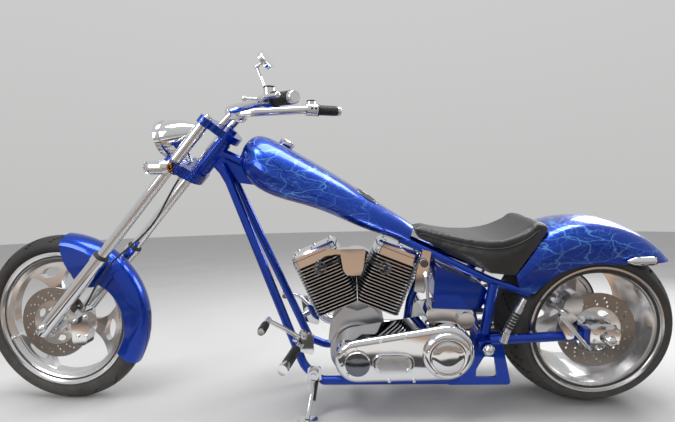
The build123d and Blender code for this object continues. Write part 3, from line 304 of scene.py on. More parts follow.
# %% Candy blue, plain and veined
def veins(tree):
    """Mask of thin lines with thinner twigs between them."""
    stretched = add(tree, "Mapping", {
        "Vector": where(tree), "Scale": (1.0, 1.3, 1.9), "Rotation": (0, math.radians(24), 0)
    })
    bend = noise(tree, stretched, 7.0, Detail=4).outputs["Color"]
    shift = {0: bend, 1: (0.16, 0.16, 0.16), 2: stretched}
    bent = add(tree, "VectorMath", shift, operation="MULTIPLY_ADD")
    lines = []
    for scale, thin, strength in ((9.0, 0.006, 1.0), (21.0, 0.004, 0.55)):
        sockets = {"Vector": bent, "Scale": scale}
        edge = add(tree, "TexVoronoi", sockets, feature="DISTANCE_TO_EDGE")
        lines.append(remap(tree, edge, thin, 0.03, strength, 0.0))
    keep = remap(tree, noise(tree, stretched, 4.5), 0.38, 0.54)
    return calc(tree, "MULTIPLY", calc(tree, "MAXIMUM", *lines), keep)


def candy_blue(name, veined):
    made, tree, shader = new_material(
        name, Metallic=0.8, Roughness=0.27, Coat_Weight=1.0, Coat_IOR=1.36, Coat_Roughness=0.03
    )
    paint = use_group(tree, candy)
    colour = paint.outputs["Color"]
    if veined:
        colour = blend(tree, veins(tree), colour, (0.10, 0.30, 0.75, 1))
    flake = bump(tree, paint.outputs["Height"], 0.02, 0.0004)
    wire(tree, shader, {"Base Color": colour, "Normal": flake})
    return made


blue_paint = candy_blue("candy_blue", False)
veined_paint = candy_blue("candy_blue_veined", True)
print("paint:", blue_paint.name, veined_paint.name)

# %% [markdown]
# Chrome, polished alloy and plain steel are one idea with other numbers: a metallic base, low
# roughness with polishing marks, and a little dust near the floor.


# %% Chrome, alloy and steel
def metal(name, colour, roughness, spread, marks, dusty, bumpy):
    made, tree, shader = new_material(name, Metallic=1.0)
    surface = use_group(tree, polish, Scale=marks, Roughness=roughness, Spread=spread)
    grime = use_group(tree, dust, Amount=dusty, Reach=0.5)
    wire(tree, shader, {
        "Base Color": blend(tree, grime, (*colour, 1), (0.30, 0.28, 0.26, 1)),
        "Roughness": calc(tree, "MULTIPLY_ADD", grime, 0.35, surface.outputs["Roughness"]),
        "Normal": bump(tree, surface.outputs["Height"], bumpy, 0.0003),
    })
    return made


chrome = metal("chrome", (0.78, 0.79, 0.81), 0.02, 0.05, 18, 0.12, 0.002)
dark_chrome = metal("dark_chrome", (0.16, 0.17, 0.19), 0.08, 0.08, 24, 0.0, 0.02)
alloy = metal("polished_alloy", (0.80, 0.80, 0.81), 0.10, 0.14, 26, 0.3, 0.04)
cast_alloy = metal("cast_alloy", (0.62, 0.62, 0.63), 0.26, 0.2, 60, 0.4, 0.25)
steel = metal("brushed_steel", (0.55, 0.55, 0.56), 0.24, 0.2, 70, 0.4, 0.12)
mirror_silver = metal("mirror_silver", (0.88, 0.89, 0.90), 0.01, 0.02, 12, 0.0, 0.0)
brushed_cover = metal("brushed_cover", (0.66, 0.66, 0.67), 0.16, 0.12, 80, 0.1, 0.1)
print("metals made")

# %% [markdown]
# The fins of a cylinder are bright at their machined edges and painted black in their depth. How
# far a point lies from the bore, measured across and along, tells the two apart.


# %% Fins that are bright at their edges and black in their depth
HALF_BLOCK = {"X": 0.097, "Y": 0.080}


def finned(name, sign):
    made, tree, shader = new_material(name, Metallic=1.0)
    parts = add(tree, "SeparateXYZ", {0: centred_on(tree, bank(sign))})
    depths = [
        calc(tree, "DIVIDE", calc(tree, "ABSOLUTE", parts.outputs[axis]), half)
        for axis, half in HALF_BLOCK.items()
    ]
    edge = remap(tree, calc(tree, "MAXIMUM", *depths), 0.84, 0.97)
    surface = use_group(tree, polish, Scale=40, Roughness=0.16, Spread=0.14)
    wire(tree, shader, {
        "Base Color": blend(tree, edge, (0.028, 0.028, 0.030, 1), (0.66, 0.66, 0.67, 1)),
        "Roughness": surface.outputs["Roughness"],
        "Normal": bump(tree, surface.outputs["Height"], 0.15, 0.0003),
    })
    return made


front_fins, rear_fins = finned("front_fins", -1), finned("rear_fins", 1)
print("fin finishes:", front_fins.name, rear_fins.name)


# %% Brake discs: a polished carrier inside a browned, ground ring
def disc_finish(name, wheel):
    made, tree, shader = new_material(name, Metallic=1.0)
    flat = add(tree, "VectorMath", {0: centred_on(tree, wheel), 1: (1, 0, 1)}, operation="MULTIPLY")
    reach = add(tree, "VectorMath", {0: flat}, operation="LENGTH").outputs["Value"]
    ring = remap(tree, reach, 0.0895, 0.0915)
    lines = calc(tree, "SINE", calc(tree, "MULTIPLY", reach, 5200))
    wire(tree, shader, {
        "Base Color": blend(tree, ring, (0.74, 0.74, 0.75, 1), (0.36, 0.32, 0.285, 1)),
        "Roughness": remap(tree, ring, 0.0, 1.0, 0.10, 0.30),
        "Normal": bump(tree, lines, 0.12, 0.0002),
    })
    return made


front_disc_steel = disc_finish("front_disc_steel", FRONT_WHEEL)
rear_disc_steel = disc_finish("rear_disc_steel", REAR_WHEEL)
print("disc finishes:", front_disc_steel.name, rear_disc_steel.name)

# %% Steel braid for the oil line: two sets of slanting waves that cross
braid = metal("steel_braid", (0.45, 0.45, 0.46), 0.3, 0.2, 300, 0.0, 0.0)
tree = braid.node_tree
place = where(tree)
mirrored = add(tree, "Mapping", {"Vector": place, "Scale": (-1, 1, 1)})
weave = [
    add(tree, "TexWave", {"Vector": way, "Scale": 150}, bands_direction="DIAGONAL").outputs["Fac"]
    for way in (place, mirrored)
]
woven = bump(tree, calc(tree, "MAXIMUM", *weave), 0.8, 0.0006)
wire(tree, tree.nodes["Principled BSDF"], {"Normal": woven})
print("braid made")

# %% [markdown]
# Rubber and leather scatter most of their light. Their colour is nearly black, broken up by
# wear, and their grain is a bump. The glazed insulators of the plugs are the same recipe in
# white.


# %% Rubber, leather and thread
def grained(name, colour, worn, roughness, grain_scale, depth, dusty, sheen=0.0):
    made, tree, shader = new_material(
        name, Roughness=roughness, Sheen_Weight=sheen, Specular_IOR_Level=0.4
    )
    pebble = use_group(tree, grain, Scale=grain_scale)
    grime = use_group(tree, dust, Amount=dusty, Reach=0.7)
    wear = blend(tree, pebble.outputs["Wear"], (*colour, 1), (*worn, 1))
    wire(tree, shader, {
        "Base Color": blend(tree, grime, wear, (0.16, 0.14, 0.12, 1)),
        "Roughness": remap(tree, pebble.outputs["Wear"], 0, 1, roughness - 0.08, roughness + 0.08),
        "Normal": bump(tree, pebble.outputs["Height"], 0.5, depth),
    })
    return made


def black(tone, blue=0.0):
    return tone, tone, tone + blue


tyre_rubber = grained(
    "tyre_rubber", black(0.012, 0.001), (0.03, 0.029, 0.028), 0.62, 500, 0.0002, 0.5
)
black_rubber = grained("black_rubber", black(0.012), black(0.022), 0.5, 700, 0.0002, 0.1)
leather = grained(
    "black_leather", (0.010, 0.0095, 0.0095), (0.022, 0.021, 0.02), 0.42, 330, 0.0006, 0.0, 0.15
)
thread = grained("dark_thread", black(0.03, 0.002), black(0.06), 0.6, 2500, 0.0001, 0.0)
rib_rubber = grained(
    "moulded_black", black(0.014, 0.001), black(0.026, 0.001), 0.38, 900, 0.00012, 0.0
)
porcelain = grained("glazed_white", (0.62, 0.61, 0.58), (0.72, 0.71, 0.69), 0.22, 120, 0.00005, 0.1)
print("soft finishes made")

# %% [markdown]
# ## Which finish goes where
# Every frame piece takes one finish, so the table is written by finish and not by piece.

# %% Assign finishes
FINISHES = {
    blue_paint: """backbone downtubes lower_rails seat_post seat_rails rear_posts pivot_plates
        swingarm oil_tank top_clamp front_fender lower_clamp fender_struts""",
    veined_paint: "fuel_tank rear_fender",
    chrome: """fork_tubes fork_sliders handlebar hand_controls mirror headlight turn_signals
        primary_case primary_covers starter rocker_boxes horn_cover exhaust_pipes air_cleaner
        coil_cover foot_controls passenger_pegs front_axle rear_axle filler_cap tail_lights
        side_stand stand_bracket rear_caliper front_caliper axle_boxes pushrod_tubes""",
    alloy: "front_rim rear_rim rear_pulley",
    cast_alloy: "crankcase gearbox",
    front_fins: "front_cylinder",
    rear_fins: "rear_cylinder",
    front_disc_steel: "front_disc",
    rear_disc_steel: "rear_disc",
    tyre_rubber: "front_tyre rear_tyre",
    black_rubber: "grips belt_drive brake_hose",
    leather: "seat",
}
dressed = set()
for finish, names in FINISHES.items():
    for name in names.split():
        nodes[name].data.materials.clear()
        nodes[name].data.materials.append(finish)
        dressed.add(name)
print("pieces still bare:", sorted(set(nodes) - dressed))

# %% [markdown]
# ## Tools for modelling
# Most small pieces start as a disc or a drum, are opened in edit mode, and get their shape by
# picking faces and pushing them. These helpers do the parts that come back: opening a piece,
# picking faces by where they are, and laying a piece that was modelled upright in its place.


# %% Open, pick and close
def only(piece):
    bpy.ops.object.select_all(action="DESELECT")
    piece.select_set(True)
    bpy.context.view_layer.objects.active = piece


def edit(piece, kind="FACE"):
    only(piece)
    bpy.ops.object.mode_set(mode="EDIT")
    bpy.ops.mesh.select_mode(type=kind)
    bpy.ops.mesh.select_all(action="DESELECT")


def begin(name, kind, scale=(1, 1, 1), **size):
    """A primitive at its size and place, opened in edit mode."""
    getattr(bpy.ops.mesh, f"primitive_{kind}_add")(**{"location": (0, 0, 0), **size})
    piece = bpy.context.object
    piece.name, piece.scale = name, scale
    bpy.ops.object.transform_apply(location=True, scale=True)
    edit(piece)
    return piece


def pick_parts(piece, kind, test):
    """Select the faces, edges or verts of an open piece that pass a test, and count them."""
    shape = bmesh.from_edit_mesh(piece.data)
    parts = getattr(shape, kind)
    for part in parts:
        part.select_set(bool(test(part)))
    shape.select_flush_mode()
    bmesh.update_edit_mesh(piece.data)
    return sum(part.select for part in parts)


def pick(piece, test):
    """Select the faces whose middle and normal pass a test, and count them."""
    return pick_parts(piece, "faces", lambda face: test(face.calc_center_median(), face.normal))


def facing_up(middle, normal):
    return normal.z > 0.9


def inset(thickness, depth, **more):
    bpy.ops.mesh.inset(thickness=thickness, depth=depth, **more)


def close_edit(piece, outward=True):
    if outward:
        bpy.ops.mesh.select_all(action="SELECT")
        bpy.ops.mesh.normals_make_consistent(inside=False)
    bpy.ops.object.mode_set(mode="OBJECT")
    piece.select_set(False)


def modify(piece, kind, **settings):
    """Add a modifier with its settings and apply it."""
    only(piece)
    change = piece.modifiers.new(kind.lower(), kind)
    for name, value in settings.items():
        setattr(change, name, value)
    bpy.ops.object.modifier_apply(modifier=change.name)


# %% Lay and dress
def aim(start, end):
    """Matrix that stands a piece's Z from start towards end."""
    start, end = Vector(start), Vector(end)
    return Matrix.Translation(start) @ (end - start).to_track_quat("Z", "Y").to_matrix().to_4x4()


def sideways(x, y, z, out=-1):
    """A place on the machine's flank, with the piece's Z pointing out of it."""
    return aim((x, y, z), (x, y + out, z))


def square_to(at, along, normal):
    """Matrix at a place, with X along a direction and Z on a normal."""
    along = (along - normal * along.dot(normal)).normalized()
    turn = Matrix((along, normal.cross(along), normal)).transposed().to_4x4()
    return Matrix.Translation(at) @ turn


def dress(piece, finish, body, *stands_for, smooth=32):
    """Last step for a new piece: its finish, its shading and the body that it rides on."""
    piece.data.materials.clear()
    piece.data.materials.append(finish)
    only(piece)
    bpy.ops.object.shade_smooth_by_angle(angle=math.radians(smooth))
    piece.select_set(False)
    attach(piece, body)
    if stands_for:
        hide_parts(*stands_for)


def join_up(name, pieces, finish, body, smooth=32):
    only(pieces[0])
    for piece in pieces:
        piece.select_set(True)
    bpy.ops.object.join()
    pieces[0].name = name
    dress(pieces[0], finish, body, smooth=smooth)
    return pieces[0]


def place_copies(name, pattern, places, finish, body, smooth=32):
    """Copies of a pattern piece, one at each place, joined as one piece on one body."""
    copies = []
    for place in places:
        copy = pattern.copy()
        copy.data = pattern.data.copy()
        copy.data.transform(place)
        bpy.context.scene.collection.objects.link(copy)
        copies.append(copy)
    return join_up(name, copies, finish, body, smooth)


def put_away(*patterns):
    for pattern in patterns:
        bpy.data.objects.remove(pattern)


# %% A turned piece: a disc pulled up ring by ring
def turned(name, steps, rings):
    """Rings are (radius, height) pairs from one end to the other, as on a lathe."""
    radius, height = rings[0]
    piece = begin(name, "circle", vertices=steps, radius=radius, fill_type="NGON")
    bpy.ops.mesh.select_all(action="SELECT")
    bpy.ops.transform.translate(value=(0, 0, height))
    for next_radius, next_height in rings[1:]:
        rise = {"value": (0, 0, next_height - height)}
        bpy.ops.mesh.extrude_region_move(TRANSFORM_OT_translate=rise)
        grow = next_radius / radius
        bpy.ops.transform.resize(value=(grow, grow, 1), center_override=(0, 0, next_height))
        radius, height = next_radius, next_height
    close_edit(piece)
    return piece


def turned_copies(name, steps, rings, places, finish, body, smooth=32):
    """Turn a pattern, copy it to its places and put it away."""
    pattern = turned(name + "_pattern", steps, rings)
    piece = place_copies(name, pattern, places, finish, body, smooth)
    put_away(pattern)
    print(name + ":", len(places))
    return piece


def domed(radius, foot, height, turns):
    """Rings of a dome from its foot up, at these angles in radians."""
    return [(radius * math.cos(t), foot + height * math.sin(t)) for t in turns]


# %% [markdown]
# ## The seat
# The seat is one crowned saddle: foam under black leather, pulled tight over its edges. A plain
# block with rounded edges would look like plastic. Here the frame's own solid is rebuilt with
# small even faces and blown up as cloth for twenty frames, so its faces swell and its edges stay
# low, as filled leather does. No point may move far, and none may leave the room that the frame
# gives the seat, except a little at the top.

# %% Rebuild a copy of the seat with even faces
cushion = nodes["seat"].copy()
cushion.data = nodes["seat"].data.copy()
cushion.name = "seat_cushion"
cushion.parent = None
cushion.matrix_world = Matrix.Identity(4)
bpy.context.scene.collection.objects.link(cushion)
edit(cushion)
bpy.ops.mesh.select_all(action="SELECT")
bpy.ops.mesh.remove_doubles(threshold=0.0001)
close_edit(cushion)


def wall_of(piece):
    """A piece's surface as it is now, for rays and nearest points."""
    shape = bmesh.new()
    shape.from_mesh(piece.data)
    return BVHTree.FromBMesh(shape)


seat_wall = wall_of(cushion)
modify(cushion, "REMESH", mode="VOXEL", voxel_size=0.006)
modify(cushion, "SMOOTH", factor=0.6, iterations=14)
print("seat faces after the rebuild:", len(cushion.data.polygons))

# %% Blow it up as cloth and keep each point within its limits
PRESSURE, LAST_FRAME = 4, 20
SWELL, PROUD, SHY, TOP_FACING = 0.012, 0.004, 0.0012, 0.35
start_shape = [corner.co.copy() for corner in cushion.data.vertices]
only(cushion)
fill = cushion.modifiers.new("fill", "CLOTH")
fill.settings.use_pressure = True
fill.settings.uniform_pressure_force = PRESSURE
fill.settings.effector_weights.gravity = 0
for frame_number in range(1, LAST_FRAME + 1):
    bpy.context.scene.frame_set(frame_number)
bpy.ops.object.modifier_apply(modifier=fill.name)
bpy.context.scene.frame_set(1)
furthest = 0.0
seat_up = BIKE.to_3x3() @ Vector((0, 0, 1))
for corner, first in zip(cushion.data.vertices, start_shape):
    step = corner.co - first
    if step.length > SWELL:
        step = step * (SWELL / step.length)
    wanted = first + step
    near, normal, _, _ = seat_wall.find_nearest(wanted)
    free = PROUD if normal.dot(seat_up) > TOP_FACING else -SHY
    if (wanted - near).dot(normal) > free:
        wanted = near + normal * free
    furthest = max(furthest, (wanted - first).length)
    corner.co = wanted
modify(cushion, "SMOOTH", factor=0.5, iterations=7)
print("furthest point moved, mm:", round(furthest * 1000, 1))

# %% [markdown]
# The leather is cut as a top panel and a skirt, and the two are sewn together along the edge.
# Rays from inside the saddle find where that seam runs, the leather beside it is pulled in,
# and a round piping lies in the fold with a row of stitches below it.

# %% Find the seam, pull the leather in and sew it
SEAM_DROP, SEAM_FROM, SEAM_TO, SEAM_STEPS = 0.030, 1.462, 1.885, 46
SEAM_DEPTH, SEAM_WIDTH = 0.0035, 0.011
cushion_wall = wall_of(cushion)


def seam_point(x, side, drop=SEAM_DROP):
    """Where the seam crosses the cushion's flank, a fixed drop below its crown."""
    crown = cushion_wall.ray_cast(BIKE @ Vector((x, 0, 1.0)), -seat_up)[0]
    outward = BIKE.to_3x3() @ Vector((0, side, 0))
    return cushion_wall.ray_cast(crown - seat_up * drop, outward)[0]


seam_lines = []
for side in (-1, 1):
    steps = [SEAM_FROM + (SEAM_TO - SEAM_FROM) * n / SEAM_STEPS for n in range(SEAM_STEPS + 1)]
    row = [seam_point(x, side) for x in steps]
    seam_lines.append([point for point in row if point])
seam_tree = KDTree(sum(len(line) for line in seam_lines))
for number, point in enumerate(point for line in seam_lines for point in line):
    seam_tree.insert(point, number)
seam_tree.balance()
for corner in cushion.data.vertices:
    far = seam_tree.find(corner.co)[2]
    corner.co -= corner.normal * SEAM_DEPTH * math.exp(-((far / SEAM_WIDTH) ** 2))
modify(cushion, "SUBSURF", levels=1, render_levels=1)
dress(cushion, leather, "chassis", "seat", smooth=80)
print("seam points:", [len(line) for line in seam_lines], "faces:", len(cushion.data.polygons))


# %% Piping and stitches along the seam
def smooth_line(name, points, radius, sides, steps):
    """A round line along a smooth curve, with these points as its control points."""
    data = bpy.data.curves.new(name, "CURVE")
    data.dimensions = "3D"
    data.bevel_depth = radius
    data.bevel_resolution = sides
    data.use_fill_caps = True
    line = data.splines.new("NURBS")
    line.points.add(len(points) - 1)
    for slot, point in zip(line.points, points):
        slot.co = (*point, 1)
    line.order_u = 3
    line.use_endpoint_u = True
    line.resolution_u = steps
    cord = bpy.data.objects.new(name, data)
    bpy.context.scene.collection.objects.link(cord)
    return cord


def tube(name, points, radius, sides=3):
    only(smooth_line(name, points, radius, sides, 6))
    bpy.ops.object.convert(target="MESH")
    return bpy.context.object


PIPING_R, PIPING_LIFT = 0.0022, 0.0005
pipings = [
    tube("piping", [point + seat_up * PIPING_LIFT for point in line], PIPING_R)
    for line in seam_lines
]
join_up("seat_piping", pipings, leather, "chassis", smooth=60)

STITCHES, STITCH_DROP, STITCH_AHEAD = 62, SEAM_DROP + 0.007, 0.003
stitch_places = []
for side in (-1, 1):
    for number in range(1, STITCHES):
        x = SEAM_FROM + (SEAM_TO - SEAM_FROM) * number / STITCHES
        here, ahead = (seam_point(at, side, STITCH_DROP) for at in (x, x + STITCH_AHEAD))
        if here and ahead:
            stitch_places.append(aim(here, ahead))
stitch_rings = [(0.0003, -0.0022), (0.0007, -0.0016), (0.0007, 0.0016), (0.0003, 0.0022)]
turned_copies("seat_stitches", 6, stitch_rings, stitch_places, thread, "chassis")

# %% [markdown]
# ## Tyres
# A tyre is a ring with one section all the way round: a flat bead, a bulging wall and a round
# crown. The section is drawn once as a row of points and spun round the axle. On the crown,
# faces are then picked in slanting rows and sunk, which cuts real grooves into the tread. A
# painted pattern would do from far away, but the edge of the tread would stay smooth.


# %% The section of a tyre, and its spin
BEAD_TALL, WALL_FOOT, WALL_STEPS = 0.024, 0.034, 9


def arc(start, through, end, steps):
    """Points on the arc through three points, without its first one."""
    (ax, ay), (bx, by), (cx, cy) = start, through, end
    d = 2 * (ax * (by - cy) + bx * (cy - ay) + cx * (ay - by))
    a, b, c = ax * ax + ay * ay, bx * bx + by * by, cx * cx + cy * cy
    ux = (a * (by - cy) + b * (cy - ay) + c * (ay - by)) / d
    uy = (a * (cx - bx) + b * (ax - cx) + c * (bx - ax)) / d
    first, middle, last = (math.atan2(y - uy, x - ux) for x, y in (start, through, end))
    turn = (last - first) % math.tau
    if (middle - first) % math.tau > turn:
        turn -= math.tau
    radius = math.hypot(ax - ux, ay - uy)
    angles = [first + turn * n / steps for n in range(1, steps + 1)]
    return [(ux + radius * math.cos(t), uy + radius * math.sin(t)) for t in angles]


def tyre_section(radius, half, bead_r, bead_half, shoulder, crown_steps):
    """Points (radius, y) from one bead round the tread to the other."""
    wall = (bead_r + WALL_FOOT, -half + (half - bead_half) * 0.25)
    left = [(bead_r, -bead_half), (bead_r + BEAD_TALL, -bead_half)]
    left += arc(left[-1], wall, (shoulder, -half), WALL_STEPS)
    crown = arc((shoulder, -half), (radius, 0), (shoulder, half), crown_steps)
    right = [(r, -y) for r, y in reversed(left)]
    return left + crown + right[1:]


def spun_tyre(name, section, steps):
    mesh = bpy.data.meshes.new(name)
    rows = range(len(section) - 1)
    mesh.from_pydata([(r, y, 0) for r, y in section], [(n, n + 1) for n in rows], [])
    tyre = bpy.data.objects.new(name, mesh)
    bpy.context.scene.collection.objects.link(tyre)
    edit(tyre)
    bpy.ops.mesh.select_all(action="SELECT")
    bpy.ops.mesh.spin(steps=steps, angle=math.tau, center=(0, 0, 0), axis=(0, 1, 0))
    bpy.ops.mesh.select_all(action="SELECT")
    bpy.ops.mesh.remove_doubles(threshold=0.0001)
    bpy.ops.mesh.normals_make_consistent(inside=False)
    return tyre


# %% A tyre with its grooves and the raised ring on its wall
def treaded_tyre(end, wheel, radius, half, bead, shoulder, crown_r, crown_steps, steps,
                 strips, tread_from, shift, pattern, groove, ring_reach, ring_y, ring):
    """Cut the tread and raise the ring; groove and ring are (wall, depth) of an inset.

    The pattern says which faces sink, from the step round the tyre and the strip across it.
    """
    section = tyre_section(radius, half, *bead, shoulder, crown_steps)
    tyre = spun_tyre(end + "_tyre_tread", section, steps)
    strip_arc = 2 * math.asin(half / crown_r) / crown_steps

    def in_groove(middle, normal):
        reach = math.hypot(middle.x, middle.z)
        step = int((math.atan2(middle.z, middle.x) % math.tau) / (math.tau / steps))
        strip = int(abs(math.atan2(middle.y, reach - (radius - crown_r))) / strip_arc)
        if not strips[0] <= strip <= strips[1] or reach < tread_from:
            return False
        return pattern(step + (shift if middle.y > 0 else 0), strip)

    def in_ring(middle, normal):
        reach = math.hypot(middle.x, middle.z)
        return ring_reach[0] < reach < ring_reach[1] and abs(middle.y) > ring_y

    sunk = pick(tyre, in_groove)
    inset(groove[0], -groove[1], use_boundary=True)
    raised = pick(tyre, in_ring)
    inset(*ring, use_boundary=True)
    close_edit(tyre, outward=False)
    tyre.data.transform(wheel)
    dress(tyre, tyre_rubber, end + "_wheel", end + "_tyre", smooth=38)
    print(end, "tyre: faces sunk and raised", sunk, raised, "of", len(tyre.data.polygons))


# %% Front tyre: slanting grooves in pairs
treaded_tyre(
    "front", FRONT_WHEEL, FRONT_RADIUS, half=0.046, bead=(0.258, 0.031), shoulder=0.302,
    crown_r=0.046, crown_steps=26, steps=144, strips=(1, 8), tread_from=0.316, shift=4,
    pattern=lambda step, strip: step % 8 == strip * 2 // 3 % 8,
    groove=(0.0008, 0.0035), ring_reach=(0.290, 0.296), ring_y=0.0, ring=(0.0006, 0.0007),
)

# %% Rear tyre: wide, with long slanting grooves and a plain middle
treaded_tyre(
    "rear", REAR_WHEEL, REAR_RADIUS, half=0.140, bead=(0.223, 0.130), shoulder=0.2701,
    crown_r=0.206, crown_steps=34, steps=160, strips=(2, 13), tread_from=0.283, shift=5,
    pattern=lambda step, strip: (
        step % 10 == strip // 2 % 10 or (strip > 8 and step % 10 == (strip // 2 + 5) % 10)
    ),
    groove=(0.0012, 0.005), ring_reach=(0.256, 0.263), ring_y=0.12, ring=(0.0008, 0.0009),
)

# %% [markdown]
# ## Bolts and screws
# Two heads come back all over the machine: the hexagon bolt on its washer and the socket screw.
# Each is modelled once, standing on the origin, and copied to its places.

# %% Two pattern heads
hex_bolt = begin("hex_bolt", "cylinder", vertices=6, radius=0.0075, depth=0.0055,
                 location=(0, 0, 0.0043))
pick(hex_bolt, facing_up)
inset(0.0012, 0.0007)
bpy.ops.mesh.primitive_cylinder_add(
    vertices=20, radius=0.0095, depth=0.0016, location=(0, 0, 0.0008)
)
close_edit(hex_bolt)

cap_screw = begin("cap_screw", "cylinder", vertices=20, radius=0.0055, depth=0.006,
                  location=(0, 0, 0.003))
pick(cap_screw, facing_up)
inset(0.0007, 0.0005)
inset(0.0019, 0)
bpy.ops.mesh.extrude_region_move(TRANSFORM_OT_translate={"value": (0, 0, -0.0032)})
close_edit(cap_screw)
print("heads:", hex_bolt.name, cap_screw.name)

# %% [markdown]
# ## Fasteners of the engine and the drive
# The clutch cover, the inspection cover, the round nose and the case behind them are held by
# small screws, and each rocker box by two rows of them through its lid.

# %% Screws on the left covers
CLUTCH_AT, OVAL_AT, NOSE_AT = (1.537, 0.279), (1.345, 0.250), (1.216, 0.250)


def around(at, radius, angles):
    """Places (x, z) on a circle, at these angles in degrees."""
    turns = [math.radians(angle) for angle in angles]
    return [(at[0] + radius * math.cos(t), at[1] + radius * math.sin(t)) for t in turns]


FIFTHS = [72 * number for number in range(5)]
COVER_SCREWS = {  # how far out the face is: the (x, z) of each screw on it
    -0.2418: around(CLUTCH_AT, 0.071, [turn + 18 for turn in FIFTHS]),
    -0.2318: [(OVAL_AT[0] + x, OVAL_AT[1] + z) for z in (-0.025, 0.025) for x in (-0.046, 0.046)],
    -0.2238: around(NOSE_AT, 0.057, (95, 140, 185, 230)),
    -0.2205: [(1.30, 0.334), (1.39, 0.348), (1.33, 0.180), (1.42, 0.180)],
}
places = [BIKE @ sideways(x, y, z) for y, spots in COVER_SCREWS.items() for x, z in spots]
place_copies("primary_screws", cap_screw, places, chrome, "chassis")
print("left cover screws:", len(places))

# %% Rocker boxes: a dark gasket line, and screws through each lid
BOX_TOP, GASKET_AT, GASKET_SIZE = 0.4496, 0.428, (0.1875, 0.1215, 0.0026)
LID_SHIFT, LID_CORNER_R = 0.003, 0.0205


def upright(edge):
    return abs((edge.verts[0].co - edge.verts[1].co).normalized().z) > 0.9


screws, gaskets = [], []
for sign in (-1, 1):
    lid = bank(sign) @ Matrix.Translation((sign * LID_SHIFT, 0, 0))
    spots = [(x, y, BOX_TOP) for x in (-0.070, 0.0, 0.070) for y in (-0.040, 0.040)]
    screws += [lid @ Matrix.Translation(spot) for spot in spots]
    gasket = begin("rocker_gasket", "cube", scale=GASKET_SIZE, size=1)
    bpy.ops.mesh.select_mode(type="EDGE")
    pick_parts(gasket, "edges", upright)
    bpy.ops.mesh.bevel(offset=LID_CORNER_R, segments=6, affect="EDGES")
    close_edit(gasket)
    gasket.data.transform(lid @ Matrix.Translation((0, 0, GASKET_AT)))
    gaskets.append(gasket)
place_copies("rocker_screws", cap_screw, screws, chrome, "chassis")
join_up("rocker_gaskets", gaskets, black_rubber, "chassis")
print("rocker screws:", len(screws))

# %% [markdown]
# ## Spark plugs
# Each head has a plug in a round well on its left side, with a boot and a lead that runs
# behind the cover between the cylinders. The well is a short collar with a dark floor.

# %% Plug, boot and well as turned pieces
PLUG_HEADS = [(1.080, -0.0785, 0.566), (1.330, -0.0785, 0.562)]
PLUG_RISE = 0.25
plug_places = [BIKE @ aim((x, y, z), (x, y - 1, z + PLUG_RISE)) for x, y, z in PLUG_HEADS]
PLUG_RINGS = {  # piece: (sides, finish, rings)
    "plug_wells": (28, dark_chrome, [
        (0.021, -0.004), (0.025, 0.0), (0.025, 0.004), (0.0205, 0.004), (0.019, 0.0),
        (0.006, -0.002)]),
    "plug_hexes": (6, steel, [(0.0105, 0.0), (0.0105, 0.008), (0.0085, 0.010)]),
    "plug_necks": (16, porcelain, [(0.0055, 0.010), (0.0055, 0.020), (0.0045, 0.021)]),
    "plug_boots": (20, black_rubber, [
        (0.0062, 0.017), (0.0088, 0.019), (0.0088, 0.030), (0.0078, 0.031), (0.0078, 0.040),
        (0.0060, 0.043)]),
}
for name, (sides, finish, rings) in PLUG_RINGS.items():
    turned_copies(name, sides, rings, plug_places, finish, "chassis")

# %% Leads held along the heads, ending behind the horn cover
LEAD_ROUTES = [
    ((1.080, -0.119, 0.576), (1.084, -0.130, 0.582), (1.108, -0.127, 0.592),
     (1.140, -0.104, 0.596), (1.168, -0.078, 0.590), (1.195, -0.066, 0.570)),
    ((1.330, -0.119, 0.572), (1.326, -0.130, 0.578), (1.304, -0.127, 0.588),
     (1.282, -0.104, 0.592), (1.262, -0.078, 0.588), (1.243, -0.066, 0.570)),
]
LEAD_R = 0.0036
leads = [tube("lead", on_bike(*route), LEAD_R) for route in LEAD_ROUTES]
join_up("plug_leads", leads, black_rubber, "chassis", smooth=60)
print("leads:", len(leads))

# %% [markdown]
# ## Fasteners on the running gear
# A bolt has to sit on the metal, not near it. A ray is sent from outside towards the frame
# piece, and the bolt is laid where it lands, square to the surface. That is surer than typing
# heights by hand, and it still works if the frame's sizes change.


# %% Lay a place on a frame piece
OUTSIDE, LEFT, RIGHT = 0.6, -1, 1


def land(name, start, toward):
    """Matrix on a frame piece where a ray first meets it, with Z square to its surface."""
    ray = (toward - start).normalized()
    found, at, normal, _ = nodes[name].ray_cast(start, ray)
    if not found:
        raise ValueError("the ray misses " + name)
    if normal.dot(ray) > 0:
        normal = -normal
    return aim(at, at + normal)


def flank(side, place, name, *spots):
    """Land on one flank of a piece at each (x, z), given in these axes."""
    return [
        land(name, place @ Vector((x, side * OUTSIDE, z)), place @ Vector((x, 0, z)))
        for x, z in spots
    ]


# %% Disc and pulley bolts
DISC_BOLT_R, FRONT_DISC_Y, REAR_DISC_Y, PULLEY_BOLT_R = 0.052, -0.0725, -0.1305, 0.062
DISC_SPOTS = around((0, 0), DISC_BOLT_R, [turn + 36 for turn in FIFTHS])
front_bolts = [FRONT_WHEEL @ sideways(x, FRONT_DISC_Y, z) for x, z in DISC_SPOTS]
rear_bolts = [REAR_WHEEL @ sideways(x, REAR_DISC_Y, z) for x, z in DISC_SPOTS]
rear_bolts += flank(RIGHT, REAR_WHEEL, "rear_pulley", *around((0, 0), PULLEY_BOLT_R, FIFTHS))
place_copies("front_disc_bolts", hex_bolt, front_bolts, chrome, "front_wheel")
place_copies("rear_disc_bolts", hex_bolt, rear_bolts, chrome, "rear_wheel")
print("disc and pulley bolts:", len(front_bolts) + len(rear_bolts))

